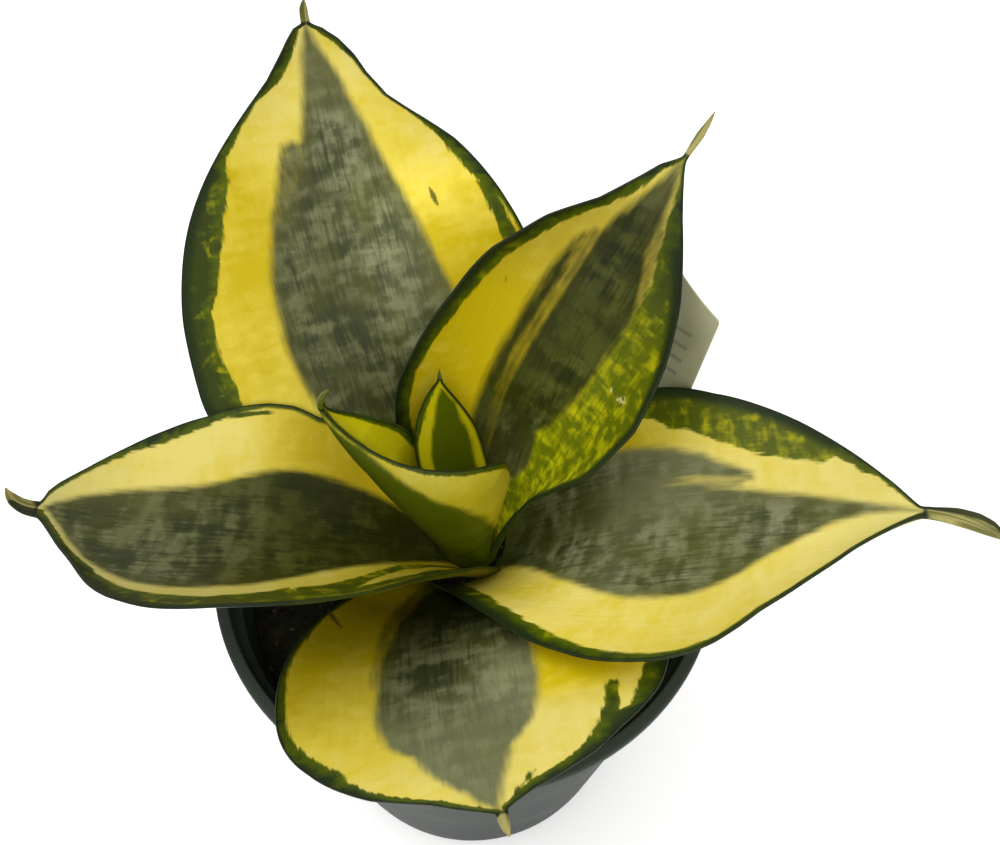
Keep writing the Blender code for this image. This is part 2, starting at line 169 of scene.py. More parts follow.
# Markings and small differences of shape. Every pair is (share of the length, value). The first value holds
# before the first pair, the last one beyond the last pair, and a lone number holds all along.
# shape: leaf dimensions that differ a little from the CAD ones. inward: how far the foot reaches towards the
# crown. trim_left and trim_right: millimetres added to the half widths. spine: half width of the spine along
# it. turn and curl: how far the spine bends in lean and heading, and how late.
# band: the grey-green middle from side to side, as shares of the half widths, negative on the left, and from
# the first pair's place to the last one's, or from the foot if it starts there. stripes: more such bands.
# veils: fainter ones, no deeper inside their soft border than veiled says in millimetres. margin_left and
# margin_right: width of the green margin in millimetres. greens: more green, given as bands are. flecks: small
# green streaks as (share of length, side share, half length, half width), the last two in millimetres.
# mottled: how broken up each margin is. middle: 1 where the band is plain green. dent: how many millimetres
# the middle is pushed in. deep_and_shade, painted_shade_and_light, band_shade_and_light and haze, each for the
# left and the right side: how far the yellow is the deeper one, partly the leaf's own tone and partly painted
# shade; painted shade over the whole skin, with painted light where negative; painted shade on the band, with
# painted light where negative; and how grey the yellow is.
MARKINGS = {
    "leaf_back_left": dict(
        shape=dict(length=113.2, heading=(126, 112, 107.5), spine=6),
        trim_left=((0, .4), (.7, .2), (.92, 0), (.955, 1), (.98, 1.9), (.995, 2), (1, 0)),
        trim_right=(
            (0, .5), (.62, .6), (.7, 1), (.76, 1.1), (.815, 0), (.862, -1.3), (.905, 0), (.94, 2), (.97, 2.8),
            (.99, 2), (1, 0)),
        spine=((0, .7), (.5, .6), (.8, .4), (1, .08)), turn=(50, 20), curl=1,
        band=(
            ((0, -.42), (.36, -.45), (.45, -.48), (.58, -.48), (.66, -.45), (.7, -.37), (.74, -.29), (.79, -.25),
             (.89, -.24), (.95, -.29), (.985, -.18), (1, 0)),
            ((0, .48), (.47, .48), (.55, .44), (.63, .42), (.69, .39), (.76, .37), (.83, .41), (.9, .44), (.93, .36),
             (.98, .16), (1, .05))),
        margin_left=(
            (0, 8), (.4, 8.2), (.48, 7), (.55, 6.5), (.58, 8.4), (.66, 8.6), (.72, 7), (.76, 5.4), (.8, 2.4),
            (.83, 1.7), (.87, 1.1), (.89, .7), (.91, 2.6), (.94, 2.8), (.98, 1.8), (1, .6), (1.01, -1)),
        margin_right=(
            (.5, .6), (.62, .7), (.66, 2.2), (.7, 3), (.73, 3), (.78, 1.6), (.83, .4), (.89, .4), (.93, .6),
            (.955, 1.2), (.985, 1.4), (1, .5), (1.01, -1)),
        greens=((((0, .78), (.54, .86), (.6, .88), (.67, .9)), ((0, .93), (.5, .95), (.6, .965), (.67, .98))),),
        veils=((((.55, -.48), (.69, -.45), (.74, -.42), (.805, -.42)), ((.55, -.1), (.805, -.1))),), veiled=.75,
        mottled=(.65, .7),
        deep_and_shade=(
            ((0, .9), (.36, .5), (.44, .8), (.5, .8), (.6, 1), (.72, .9), (.8, .5), (.87, .15), (1, .1)),
            ((0, 1), (.55, .95), (.65, .6), (.72, .4), (.85, .4), (.92, .2))),
        painted_shade_and_light=(
            ((0, .5), (.3, 0), (.93, 0), (1, .15)),
            ((0, .3), (.4, -.2), (.62, -.45), (.68, -.6), (.76, -.25), (.85, -.1), (1, 0))),
        band_shade_and_light=(
            ((0, .9), (.45, .5), (.6, .3), (.75, .15), (.88, -.1), (1, -.2)),
            ((0, .6), (.38, 0), (.5, -.2), (.6, -.1), (.7, .1), (.88, -.15), (1, -.3)))),
    "leaf_back_right": dict(
        inward=3,
        trim_left=((0, .8), (.42, 1), (.6, .9), (.7, 2.2), (.79, 1.4), (.86, -.6), (.93, .4), (.965, 1), (1, 0)),
        trim_right=(
            (0, -1.5), (.04, -2.2), (.14, -5.4), (.22, -6.2), (.3, -5.2), (.36, -2), (.41, .8), (.45, 1.7), (.54, 2),
            (.64, 0), (.74, -.9), (.9, -.8), (1, 0)),
        spine=((0, .35), (.1, .42), (.45, .66), (.8, .36), (1, .06)), turn=(-50, 30), curl=1.6,
        band=(
            ((0, -.28), (.36, -.26), (.56, -.24), (.67, -.24), (.76, -.29), (.84, -.4), (.9, -.41), (.94, -.33),
             (.98, -.25), (1, -.1)),
            ((0, .02), (.2, .2), (.3, .24), (.37, .19), (.43, .22), (.49, .26), (.54, .3), (.6, .37), (.65, .42),
             (.69, .44), (.73, .43), (.77, .38), (.81, .32), (.86, .38), (.91, .46), (.95, .52), (.98, .5), (1, .1))),
        stripes=(
            (((.08, -.44), (.36, -.395), (.45, -.385), (.54, -.385), (.61, -.405), (.69, -.425), (.73, -.45),
              (.785, -.47)),
             ((.08, -.25), (.36, -.265), (.45, -.283), (.54, -.3), (.61, -.305), (.69, -.31), (.73, -.345),
              (.785, -.42))),),
        veils=(
            (((.08, -.42), (.61, -.39), (.72, -.42), (.8, -.42)), ((.08, -.2), (.8, -.2))),
            (((.7, .3), (.86, .3)), ((.7, .44), (.78, .47), (.86, .5)))),
        margin_left=(
            (0, 4), (.37, 3.5), (.49, 4), (.54, 5.2), (.61, 5), (.67, 5.4), (.73, 5), (.79, 4.1), (.85, 2.6),
            (.9, 3.2), (.93, 2), (.96, 1.2), (1, .5), (1.01, -1)),
        margin_right=(
            (0, 6), (.2, 12.6), (.3, 13.2), (.37, 21.4), (.43, 22.2), (.49, 21), (.54, 19.6), (.6, 16.4), (.65, 13.6),
            (.69, 11.6), (.72, 9.9), (.75, 8.3), (.77, 7), (.81, 6.1), (.86, 4), (.92, 1.7), (.95, .6), (1, .4),
            (1.01, -1)),
        mottled=(.6, ((.66, 1.9), (.76, 1.1), (.84, .5), (1, .3))),
        deep_and_shade=(((.6, 1), (.7, .95), (.85, .85), (1, .6)), ((0, 1), (.7, .9), (1, .6))),
        painted_shade_and_light=(
            ((0, .2), (.28, -.15), (.42, -.2), (.5, -.15), (.6, -.1), (.75, .12), (.87, .1), (.92, -.3)),
            ((0, -2), (.2, -1.8), (.35, -.9), (.5, -.4), (.66, -.1), (.78, .25), (.9, .35), (1, .2))),
        band_shade_and_light=both(((0, .4), (.3, .6), (.42, 1), (.87, 1), (.93, .4), (1, 0))),
        haze=(((.62, 0), (.8, .25), (1, .45)), ((.62, 0), (.8, .3), (1, .6)))),
    "leaf_left": dict(
        inward=4.5,
        trim_left=(
            (0, 0), (.12, -1), (.22, -2.4), (.3, -2), (.36, -.8), (.46, -.2), (.58, -.3), (.68, .7), (.76, 1.4),
            (.82, 1.2), (.9, .4), (1, 0)),
        trim_right=(
            (0, -1.2), (.43, -1.4), (.49, .2), (.55, .5), (.64, 0), (.69, -.7), (.78, -.4), (.86, .5), (.93, 1.7),
            (.975, 2.8), (.99, 2.6), (1, 0)),
        spine=((0, 1.9), (.3, 1.6), (.6, 1.1), (1, .1)), turn=(50, -80), curl=1.6,
        band=(
            ((0, -.1), (.1, -.2), (.2, -.3), (.26, -.33), (.32, -.34), (.41, -.39), (.47, -.47), (.53, -.55),
             (.6, -.605), (.67, -.64), (.73, -.655), (.8, -.67), (.86, -.7), (.92, -.6), (.96, -.37), (.985, 0)),
            ((0, .6), (.26, .53), (.34, .52), (.44, .52), (.53, .48), (.6, .42), (.65, .37), (.72, .36), (.81, .38),
             (.89, .4), (.93, .4), (.97, .32), (.99, .1))),
        margin_left=(
            (.38, .6), (.43, 3), (.47, 14), (.53, 11.2), (.59, 8.9), (.66, 8.2), (.7, 7.8), (.74, 7.2), (.78, 6),
            (.84, 5), (.9, 2.9), (.96, 2.6), (1, 2.6), (1.05, 1.2), (1.07, -1)),
        margin_right=(
            (0, .6), (.45, .8), (.56, .8), (.61, 1.5), (.7, 2.2), (.77, 3), (.85, 1.6), (.92, 1), (1, 1.2),
            (1.03, -1)),
        greens=(
            (((0, -1), (.09, -1)), ((0, 1), (.09, 1))),
            (((.1, -.44), (.2, -.44), (.26, -.47), (.31, -.55), (.36, -.68), (.4, -.82), (.46, -1)),
             ((.1, -.34), (.2, -.35), (.26, -.37), (.31, -.45), (.36, -.53), (.41, -.59), (.46, -.59))),
            (((.05, -.72), (.2, -.75), (.28, -.83), (.36, -.89), (.42, -.94), (.5, -1)),
             ((.05, -.5), (.2, -.55), (.28, -.65), (.36, -.7), (.42, -.76), (.5, -.8)))),
        veils=((((.03, -1), (.46, -1)), ((.03, -.7), (.2, -.74), (.28, -.82), (.36, -.88), (.46, -.94))),),
        flecks=((.6, .935, 5.5, .5),), mottled=(((0, 1.2), (.5, 1.3), (.64, .9), (.74, .3), (1, .2)), .5),
        deep_and_shade=(((0, 1), (.36, .6), (.5, .3), (1, .2)), ((.42, 1), (.5, .8), (.58, .35), (.7, .05), (1, .1))),
        painted_shade_and_light=(
            ((0, -.6), (.2, 0), (.3, .2), (.6, .25), (.8, .2), (1, .25)),
            ((0, -1), (.2, -.2), (.32, .4), (.42, .35), (.5, .2), (.6, .06), (.8, .08), (.95, .2), (1, .3))),
        band_shade_and_light=(
            ((0, .9), (.35, 1), (.45, 1), (.6, .6), (.75, .3), (.9, .2), (1, 0)),
            ((0, .9), (.35, 1), (.45, 1), (.53, .9), (.6, .65), (.75, .3), (.9, .15), (1, 0))),
        haze=(((0, 0), (.45, .1), (.6, .45), (.75, .7), (1, .9)), ((0, 0), (.8, .05), (.93, .4), (1, .8)))),
    "leaf_right": dict(
        inward=7,
        trim_left=(
            (0, 7), (.1, 5), (.2, 2), (.3, 0), (.5, -.3), (.61, -1.2), (.7, -.8), (.78, -.2), (.87, .2), (.95, .4),
            (1, 0)),
        trim_right=((0, 1.5), (.2, 0), (.34, .3), (.5, .9), (.58, 1.3), (.65, 1.2), (.725, 0), (.8, -.2), (1, 0)),
        spine=((0, 1.1), (.12, 1.25), (.35, 2.1), (.6, 2.5), (.8, 2.1), (1, .5)), turn=(-60, 10), curl=.4,
        band=(
            ((0, -.85), (.2, -.62), (.35, -.44), (.45, -.36), (.5, -.32), (.58, -.28), (.66, -.24), (.74, -.22),
             (.85, -.2), (.95, -.18), (1, -.14)),
            ((0, .1), (.16, .2), (.3, .38), (.39, .47), (.46, .52), (.55, .53), (.6, .53), (.65, .5), (.7, .42),
             (.75, .35), (.79, .27), (.85, .13), (.91, .02), (.96, -.05), (1, -.06))),
        stripes=(
            (((0, -.85), (.2, -.74), (.39, -.65), (.44, -.61), (.52, -.56), (.58, -.52), (.62, -.47), (.68, -.4)),
             ((0, -.3), (.4, -.29), (.46, -.305), (.51, -.32), (.56, -.345), (.6, -.355), (.68, -.34))),),
        veils=(
            (((.12, -.7), (.3, -.56), (.45, -.42), (.66, -.38)), ((.12, -.5), (.3, -.4), (.45, -.3), (.66, -.26))),),
        margin_left=(
            (0, 4), (.3, 4.6), (.45, 5.2), (.52, 8.4), (.58, 9.2), (.63, 9.6), (.68, 10.3), (.74, 9), (.8, 6.4),
            (.82, 5.2), (.84, 2.6), (.87, 2.4), (.89, 2.2), (.92, 1), (1, .5), (1.05, 1.2), (1.18, 1)),
        margin_right=(
            (0, 7), (.12, 5.8), (.23, 4.7), (.32, 4), (.39, 2.9), (.46, 2.2), (.55, 1.5), (.65, .9), (.8, .7),
            (1, .5), (1.02, -1)),
        mottled=(((0, .8), (.45, 1.1), (.65, 1.7), (.82, 1.6), (1, .3)), .9),
        deep_and_shade=(
            ((0, 1), (.42, .9), (.5, .35), (.6, .15), (1, .1)),
            ((0, .7), (.2, .4), (.35, .2), (.6, .3), (.8, .1), (1, 0))),
        painted_shade_and_light=(
            ((0, -1.6), (.15, -.5), (.3, -.2), (.42, -.1), (.6, 0), (.75, .08), (1, 0)),
            ((0, 0), (.06, -.4), (.13, -.7), (.2, -.6), (.35, -.35), (.45, -.2), (.6, -.05), (.8, -.15), (1, -.2))),
        band_shade_and_light=(
            ((0, .7), (.2, .4), (.32, -.1), (.42, -.5), (.5, -.6), (.6, -.35), (.75, -.1), (1, -.2)),
            ((0, .8), (.2, .5), (.32, 0), (.4, -.2), (.48, 0), (.7, .1), (1, -.1))),
        haze=both(((.75, 0), (.9, .3), (1, .5)))),
    "leaf_front": dict(
        inward=3,
        trim_left=(
            (0, .8), (.69, .9), (.77, 1), (.84, -.6), (.89, -.2), (.925, -1.2), (.95, -2.4), (.975, -1.8), (1, -.6)),
        trim_right=((0, .5), (.61, .6), (.77, .3), (.83, 1), (.88, 1.2), (.905, .3), (.93, -.9), (.96, -.2), (1, 0)),
        spine=((0, .75), (.4, .6), (.75, .4), (1, .1)), turn=(-40, 20), curl=1.6,
        band=(
            ((0, -.3), (.52, -.31), (.62, -.31), (.71, -.29), (.76, -.27), (.8, -.22), (.83, -.15), (.9, -.12),
             (.96, -.06), (1, .2)),
            ((0, .6), (.09, .58), (.24, .5), (.37, .47), (.48, .48), (.58, .5), (.68, .53), (.75, .53), (.78, .5),
             (.8, .45), (.89, .44), (.94, .47), (1, .5))),
        margin_left=(
            (0, 3), (.5, 3.6), (.69, 4.1), (.76, 4.3), (.795, 2.6), (.805, 6.6), (.85, 4), (.89, 3.4), (.93, 3.6),
            (.945, 3), (.96, 1.6), (1, .6), (1.02, -1)),
        margin_right=(
            (0, 1.2), (.33, .9), (.47, .9), (.54, 1.4), (.66, 1.8), (.73, 2.8), (.8, 4.2), (.82, 2.8), (.9, 1.9),
            (.95, 1.4), (1, .8), (1.02, -1)),
        greens=(
            (((.715, -.745), (.76, -.77), (.8, -.85), (.82, -.9)),
             ((.715, -.675), (.76, -.68), (.8, -.72), (.82, -.75))),
            (((.915, -.5), (.94, -.62), (.97, -.9)), ((.915, -.4), (.94, -.47), (.97, -.62)))),
        veils=((((.05, .45), (.45, .4), (.55, .44)), ((.05, .68), (.25, .58), (.45, .52), (.55, .52))),),
        mottled=(.6, .6),
        deep_and_shade=(((.68, 1), (.72, .45), (.78, .15), (1, .1)), ((.3, 1), (.55, .75), (.7, .55), (.85, .2), (1, .15))),
        painted_shade_and_light=(
            ((0, -.6), (.2, -.3), (.35, -.15), (.5, -.25), (.58, -.4), (.68, -.3), (.73, 0), (1, .05)),
            ((0, -.2), (.15, .4), (.25, .8), (.38, .7), (.5, .5), (.6, .4), (.7, .15), (.9, .05), (1, .15))),
        band_shade_and_light=(
            ((0, 1), (.3, .9), (.45, .3), (.52, -.35), (.65, -.5)),
            ((0, 1), (.3, .8), (.45, .4), (.55, .1), (.65, -.3), (.75, -.5), (1, -.6)))),
    "leaf_cup": dict(
        shape=dict(spine=6), trim_left=((0, 2), (.1, 1), (.2, -1.4), (.35, -2.2), (.42, -1.6), (.5, -1.3), (.61, 0)),
        dent=((0, 0), (.12, .6), (.35, 2.6), (.6, 3.6), (.8, 3), (.93, 1), (1, 0)),
        spine=((0, .8), (.5, .7), (1, .25)), turn=(45, -10), curl=.8,
        band=(
            ((0, -1), (.2, -.95), (.32, -.78), (.42, -.71), (.51, -.7), (.56, -.68), (.7, -.68), (.8, -.72),
             (.87, -.8), (.93, -.9), (.99, -.5)),
            ((0, .7), (.35, .3), (.5, .08), (.7, 0), (.87, -.08), (.99, -.1))),
        margin_left=((0, 1.2), (.4, .5), (.5, .6), (.6, 1.2), (.75, 1.4), (.9, .9), (1, .5), (1.02, -1)),
        margin_right=((.5, 1.8), (.8, 1.4), (1, .6), (1.02, -1)), mottled=(.3, 1.2), middle=1,
        deep_and_shade=(((0, .9), (.6, .8), (.8, .5), (1, .6)), 1),
        painted_shade_and_light=(((0, -1.2), (.3, -.35), (.5, .05), (.65, .1), (.8, .25), (1, .3)), ((.8, -1), (1, -.3)))),
    "leaf_spear": dict(
        spine=((0, .4), (1, .06)), turn=(0, 0), curl=1,
        band=(
            ((0, -.7), (.53, -.68), (.68, -.63), (.74, -.53), (.83, -.36), (.91, -.22), (.96, -.05)),
            ((0, .5), (.57, .63), (.65, .68), (.79, .66), (.9, .71), (.97, .6))),
        margin_left=((.7, .5), (.78, .9), (.85, 1.7), (.92, 1.2), (1, .3), (1.02, -1)),
        margin_right=((.7, .4), (1, .3), (1.02, -1)), mottled=(.3, .3), middle=1, deep_and_shade=(1, 1),
        painted_shade_and_light=both(((0, -.8), (.75, -.5), (1, -.1)))),
}


def three(values, along):
    """The smooth curve through a value at the foot, the middle and the tip."""
    foot, middle, tip = values
    return (foot * (1 - along) * (1 - 2 * along) + 4 * middle * along * (1 - along)
            + tip * along * (2 * along - 1))


def through(pairs, along):
    """The value at each share of the length, from (share, value) pairs or a lone number."""
    places, values = zip(*(pairs if isinstance(pairs, tuple) else ((0, pairs),)))
    return np.interp(along, places, values)


def unit(values):
    return np.clip(values, 0, 1)


def polar(radius, turn):
    return radius * math.cos(turn), radius * math.sin(turn)


def ripple(points, size, seed=0.0):
    """Smooth noise from -1 to 1 at each point, where size is the width of its bumps."""
    shift = Vector((seed, -seed * 0.7, seed * 1.3))
    made = [noise.noise(Vector(p) / size + shift) for p in points.reshape(-1, 3)]
    return np.array(made).reshape(points.shape[:-1])


def new_object(name, data):
    made = bpy.data.objects.new(name, data)
    bpy.context.scene.collection.objects.link(made)
    return made


def add_piece(name, mesh, finish, slot, *nodes):
    mesh.materials.append(finish)
    made = new_object(name, mesh)
    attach(made, "root")
    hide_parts(*nodes)
    return made


def new_mesh(name, points, faces):
    """A mesh from points in millimetres."""
    mesh = bpy.data.meshes.new(name)
    mesh.from_pydata(np.array(points) * MM, [], faces)
    return mesh


def store_vectors(mesh, name, vectors):
    attribute = mesh.attributes.new(name, "FLOAT_VECTOR", "POINT")
    attribute.data.foreach_set("vector", vectors.astype(np.float32).ravel())


# Leaves
def leaf_seed(name):
    return SEED_STEP * list(LEAVES).index(name)


def half_width_share(along, leaf):
    rising = np.sin(math.pi / 2 * unit(along / leaf["widest"])) ** 1.4
    past = unit((along - leaf["widest"]) / (1 - leaf["widest"]))
    falling = np.cos(math.pi / 2 * past ** leaf["fullness"]) ** leaf["point"]
    return np.where(along < leaf["widest"], leaf["foot"] + (1 - leaf["foot"]) * rising, falling)


def direction(heading, lean):
    return np.stack([np.cos(lean) * np.cos(heading), np.cos(lean) * np.sin(heading), np.sin(lean)], 1)


def leaf_midrib(leaf, along):
    """Points of the midrib in millimetres, with its heading and lean in radians."""
    fine = np.linspace(0, along[-1], 400)
    past = unit((fine - 1) / (along[-1] - 1)) ** leaf["marks"]["curl"]
    bend = leaf["marks"]["turn"]
    lean = np.radians(three(leaf["lean"], fine) + bend[0] * past)
    heading = np.radians(three(leaf["heading"], fine) + bend[1] * past)
    tangent = direction(heading, lean)
    step = leaf["length"] * (fine[1] - fine[0])
    run = np.concatenate([[[0, 0, 0]], np.cumsum((tangent[1:] + tangent[:-1]) / 2 * step, 0)])
    x, y = polar(leaf["ring"], heading[0])
    foot = np.array([CROWN_CENTRE[0] + x, CROWN_CENTRE[1] + y, CROWN_TOP + leaf["raised"]])
    points = np.stack([np.interp(along, fine, run[:, k] + foot[k]) for k in range(3)], 1)
    near = unit(1 - along / INWARD_REACH) ** 2 * leaf["marks"].get("inward", 0)
    points[:, :2] -= np.stack(polar(near, heading[0]), 1)
    return points, np.interp(along, fine, heading), np.interp(along, fine, lean)


def leaf_frame(leaf, along, heading, lean):
    roll = np.radians(three(leaf["roll"], along))[:, None]
    across = np.stack([np.sin(heading), -np.cos(heading), 0 * heading], 1)
    upward = np.cross(across, direction(heading, lean))
    return across * np.cos(roll) + upward * np.sin(roll), upward * np.cos(roll) - across * np.sin(roll)


def leaf_surface(leaf):
    """The blade's middle surface in millimetres, each row's share of length and each point's way across."""
    blade = np.linspace(0, 1, LEAF_ROWS)
    spine = 1 + np.linspace(0, 1, SPINE_ROWS + 1)[1:] * leaf["spine"] / leaf["length"]
    along = np.concatenate([blade, spine])
    midrib, heading, lean = leaf_midrib(leaf, along)
    across, upward = leaf_frame(leaf, along, heading, lean)
    past = unit((along - 1) * leaf["length"] / leaf["spine"])
    spine_width = through(leaf["marks"]["spine"], past) * unit((along - SPINE_FROM) / 0.1)
    half = LEAF_COLUMNS // 2
    points = np.zeros((len(along), LEAF_COLUMNS + 1, 3))
    reach = np.zeros((len(along), LEAF_COLUMNS + 1))
    for side, key in ((-1, "left"), (1, "right")):
        blade_width = leaf[key] * half_width_share(along, leaf)
        blade_width = (blade_width + through(leaf["marks"].get("trim_" + key, 0), along)) * (along < 1)
        width = np.sqrt(blade_width ** 2 + spine_width ** 2)
        turn = np.radians(three(leaf["cup_" + key], unit(along)))
        for k in range(half + 1):
            share = math.sin(math.pi / 2 * k / half) ** 0.9
            angle = turn * share
            bend = np.where(np.abs(angle) < 1e-6, 1e-6, angle)
            out = width * share * np.sin(bend) / bend
            rise = width * share * (1 - np.cos(bend)) / bend
            points[:, half + side * k] = midrib + side * across * out[:, None] + upward * rise[:, None]
            reach[:, half + side * k] = side * share * width
    return points, along, reach


def side_share(reach):
    """How far each point lies from the midrib towards its margin, from 0 to 1."""
    width = np.where(reach < 0, -reach[:, :1], reach[:, -1:])
    return np.abs(reach) / np.maximum(width, 1e-6)


def leaf_thickness(name, leaf, along, reach):
    rib = FOOT_THICKNESS + (RIB_THICKNESS - FOOT_THICKNESS) * np.sin(math.pi * unit(along)) ** 0.7
    past = unit((along - THINNING_FROM) / 0.15)
    spine_start = leaf["marks"]["spine"][0][1]
    rib = rib + (1.5 * min(spine_start, 1.2) - rib) * past
    thin = unit((along - 1) * leaf["length"] / leaf["spine"])
    rib = rib * np.clip(1 - thin ** 2, 0.15, 1)
    side = unit(side_share(reach)) ** 2
    edge = np.minimum(MARGIN_THICKNESS, rib * 0.8)
    made = rib[:, None] * (1 - side) + edge[:, None] * side
    return made * (SPEAR_SHARE if name == "leaf_spear" else 1)


def surface_normals(points):
    normal = np.cross(np.gradient(points, axis=1), np.gradient(points, axis=0))
    return normal / np.linalg.norm(normal, axis=2, keepdims=True)


def zones(leaf, marks, along, reach):
    """Signed millimetres inside the grey band, inside the green margin, and from the edge, at each point."""
    low, high = -reach[:, :1], reach[:, -1:]
    rows = along[:, None]
    length = leaf["length"]

    def inside(pair):
        left, right = (through(side, along)[:, None] for side in pair)
        start, end = pair[0][0][0], pair[0][-1][0]
        left = left * np.where(left < 0, low, high)
        right = right * np.where(right < 0, low, high)
        ends = np.minimum(rows - start, end - rows) * length if start > 0 else (end - rows) * length
        return np.minimum(np.minimum(reach - left, right - reach), ends)

    band = inside(marks["band"])
    for pair in marks.get("stripes", ()):
        band = np.maximum(band, inside(pair))
    for pair in marks.get("veils", ()):
        band = np.maximum(band, np.minimum(inside(pair), marks.get("veiled", 0)))
    edge = np.where(reach < 0, reach + low, high - reach)
    margin = np.where(reach < 0, through(marks["margin_left"], along)[:, None],
                      through(marks["margin_right"], along)[:, None]) - edge
    for pair in marks.get("greens", ()):
        margin = np.maximum(margin, inside(pair))
    for place, side, half_length, half_width in marks.get("flecks", ()):
        centre = side * np.where(side < 0, low, high)
        far = np.hypot((rows - place) * length / half_length, (reach - centre) / half_width)
        margin = np.maximum(margin, (1 - far) * half_width * 4)
    return band, margin, edge


def shading(marks, key, along, reach):
    """A shade's strength over the blade, blended across the middle from its left and right values."""
    left, right = (through(pairs, along)[:, None] for pairs in marks.get(key, (0, 0)))
    blend = unit(0.5 + reach / SIDE_BLEND)
    return left + (right - left) * blend * blend * (3 - 2 * blend)


def grid_faces(rows, columns):
    """Faces of a grid that closes round its columns."""
    base = np.arange(rows - 1)[:, None] * columns + np.arange(columns)[None, :]
    nxt = np.arange(rows - 1)[:, None] * columns + (np.arange(columns)[None, :] + 1) % columns
    return np.stack([base, nxt, nxt + columns, base + columns], -1).reshape(-1, 4)


def leaf_ring(upper, under, middle):
    """Rows that run along the upper face, round one margin, back along the under face and round the other."""
    def rounded(a, b, edge, inner):
        out = edge - inner
        out = out / np.linalg.norm(out, axis=1, keepdims=True)
        half = np.linalg.norm(a - b, axis=1, keepdims=True) / 2
        turns = np.linspace(0, math.pi, EDGE_COLUMNS + 2)[1:-1]
        centre = (a + b) / 2
        return [centre + (a - centre) * math.cos(t) + out * half * math.sin(t) for t in turns]

    right = rounded(upper[:, -1], under[:, -1], middle[:, -1], middle[:, -2])
    left = rounded(under[:, 0], upper[:, 0], middle[:, 0], middle[:, 1])
    columns = [upper[:, k] for k in range(upper.shape[1])] + right
    columns += [under[:, k] for k in range(under.shape[1] - 1, -1, -1)] + left
    return np.stack(columns, 1)


def ring_values(upper, right, under, left):
    """Values on the two faces and the two margins between them, in the order of leaf_ring."""
    return np.concatenate([upper, np.repeat(right, EDGE_COLUMNS, 1), under[:, ::-1],
                           np.repeat(left, EDGE_COLUMNS, 1)], 1)


def add_leaf(name, leaf, finish):
    marks = MARKINGS[name]
    leaf = {**leaf, **marks.get("shape", {}), "marks": marks}
    seed = leaf_seed(name)
    points, along, reach = leaf_surface(leaf)
    rows_along = along[:, None]
    dent = through(marks.get("dent", 0), along)[:, None] * unit(1 - (reach / DENT_REACH) ** 2) ** 2
    points = points + surface_normals(points) * dent[:, :, None]
    calm = unit(along / CALM_FOOT) * unit((1.0 - along) / CALM_TIP)
    swell = sum(ripple(points, size, seed + shift) * height for size, height, shift in WAVES)
    wave = swell * (0.35 + side_share(reach) ** 2) * calm[:, None]
    points = points + surface_normals(points) * wave[:, :, None]
    offset = surface_normals(points) * leaf_thickness(name, leaf, along, reach)[:, :, None] / 2
    ring = leaf_ring(points + offset, points - offset, points)

    rows, columns = ring.shape[:2]
    foot, tip, last = rows * columns, rows * columns + 1, (rows - 1) * columns
    faces = [tuple(f[::-1]) for f in grid_faces(rows, columns)]
    for k in range(columns):
        nxt = (k + 1) % columns
        faces += [(k, nxt, foot), (last + nxt, last + k, tip)]
    ends = np.stack([ring[0].mean(0), ring[-1].mean(0)])
    mesh = new_mesh(name, np.concatenate([ring.reshape(-1, 3), ends]), faces)
    mesh.validate()

    def store(label, layers):
        packed = np.stack([ring_values(a, a[:, -1:], a, a[:, :1]) for a in layers], -1).reshape(-1, 3)
        store_vectors(mesh, label, np.concatenate([packed, packed[[0, last]]]))

    none = np.zeros(reach.shape)
    mottled = np.where(reach < 0, *[through(m, along)[:, None] for m in marks["mottled"]])
    past = np.clip((rows_along - 1) * leaf["length"], -9, 30) + none
    store("zones", zones(leaf, marks, along, reach))
    store("place", (reach, rows_along * leaf["length"] + none, past))
    store("nature", (mottled, none + marks.get("middle", 0), none + seed))
    store("mist", [shading(marks, "haze", along, reach)] * 3)
    store("shades", [shading(marks, key, along, reach) for key in ("deep_and_shade", "painted_shade_and_light", "band_shade_and_light")])
    between = none[:, :1] + 0.5
    face = ring_values(none, between, none + 1, between).ravel()
    attribute = mesh.attributes.new("under", "FLOAT", "POINT")
    attribute.data.foreach_set("value", np.concatenate([face, [0.5, 0.5]]).astype(np.float32))
    mesh.shade_smooth()
    return add_piece(name + "_blade", mesh, finish, "leaf_skin", name)


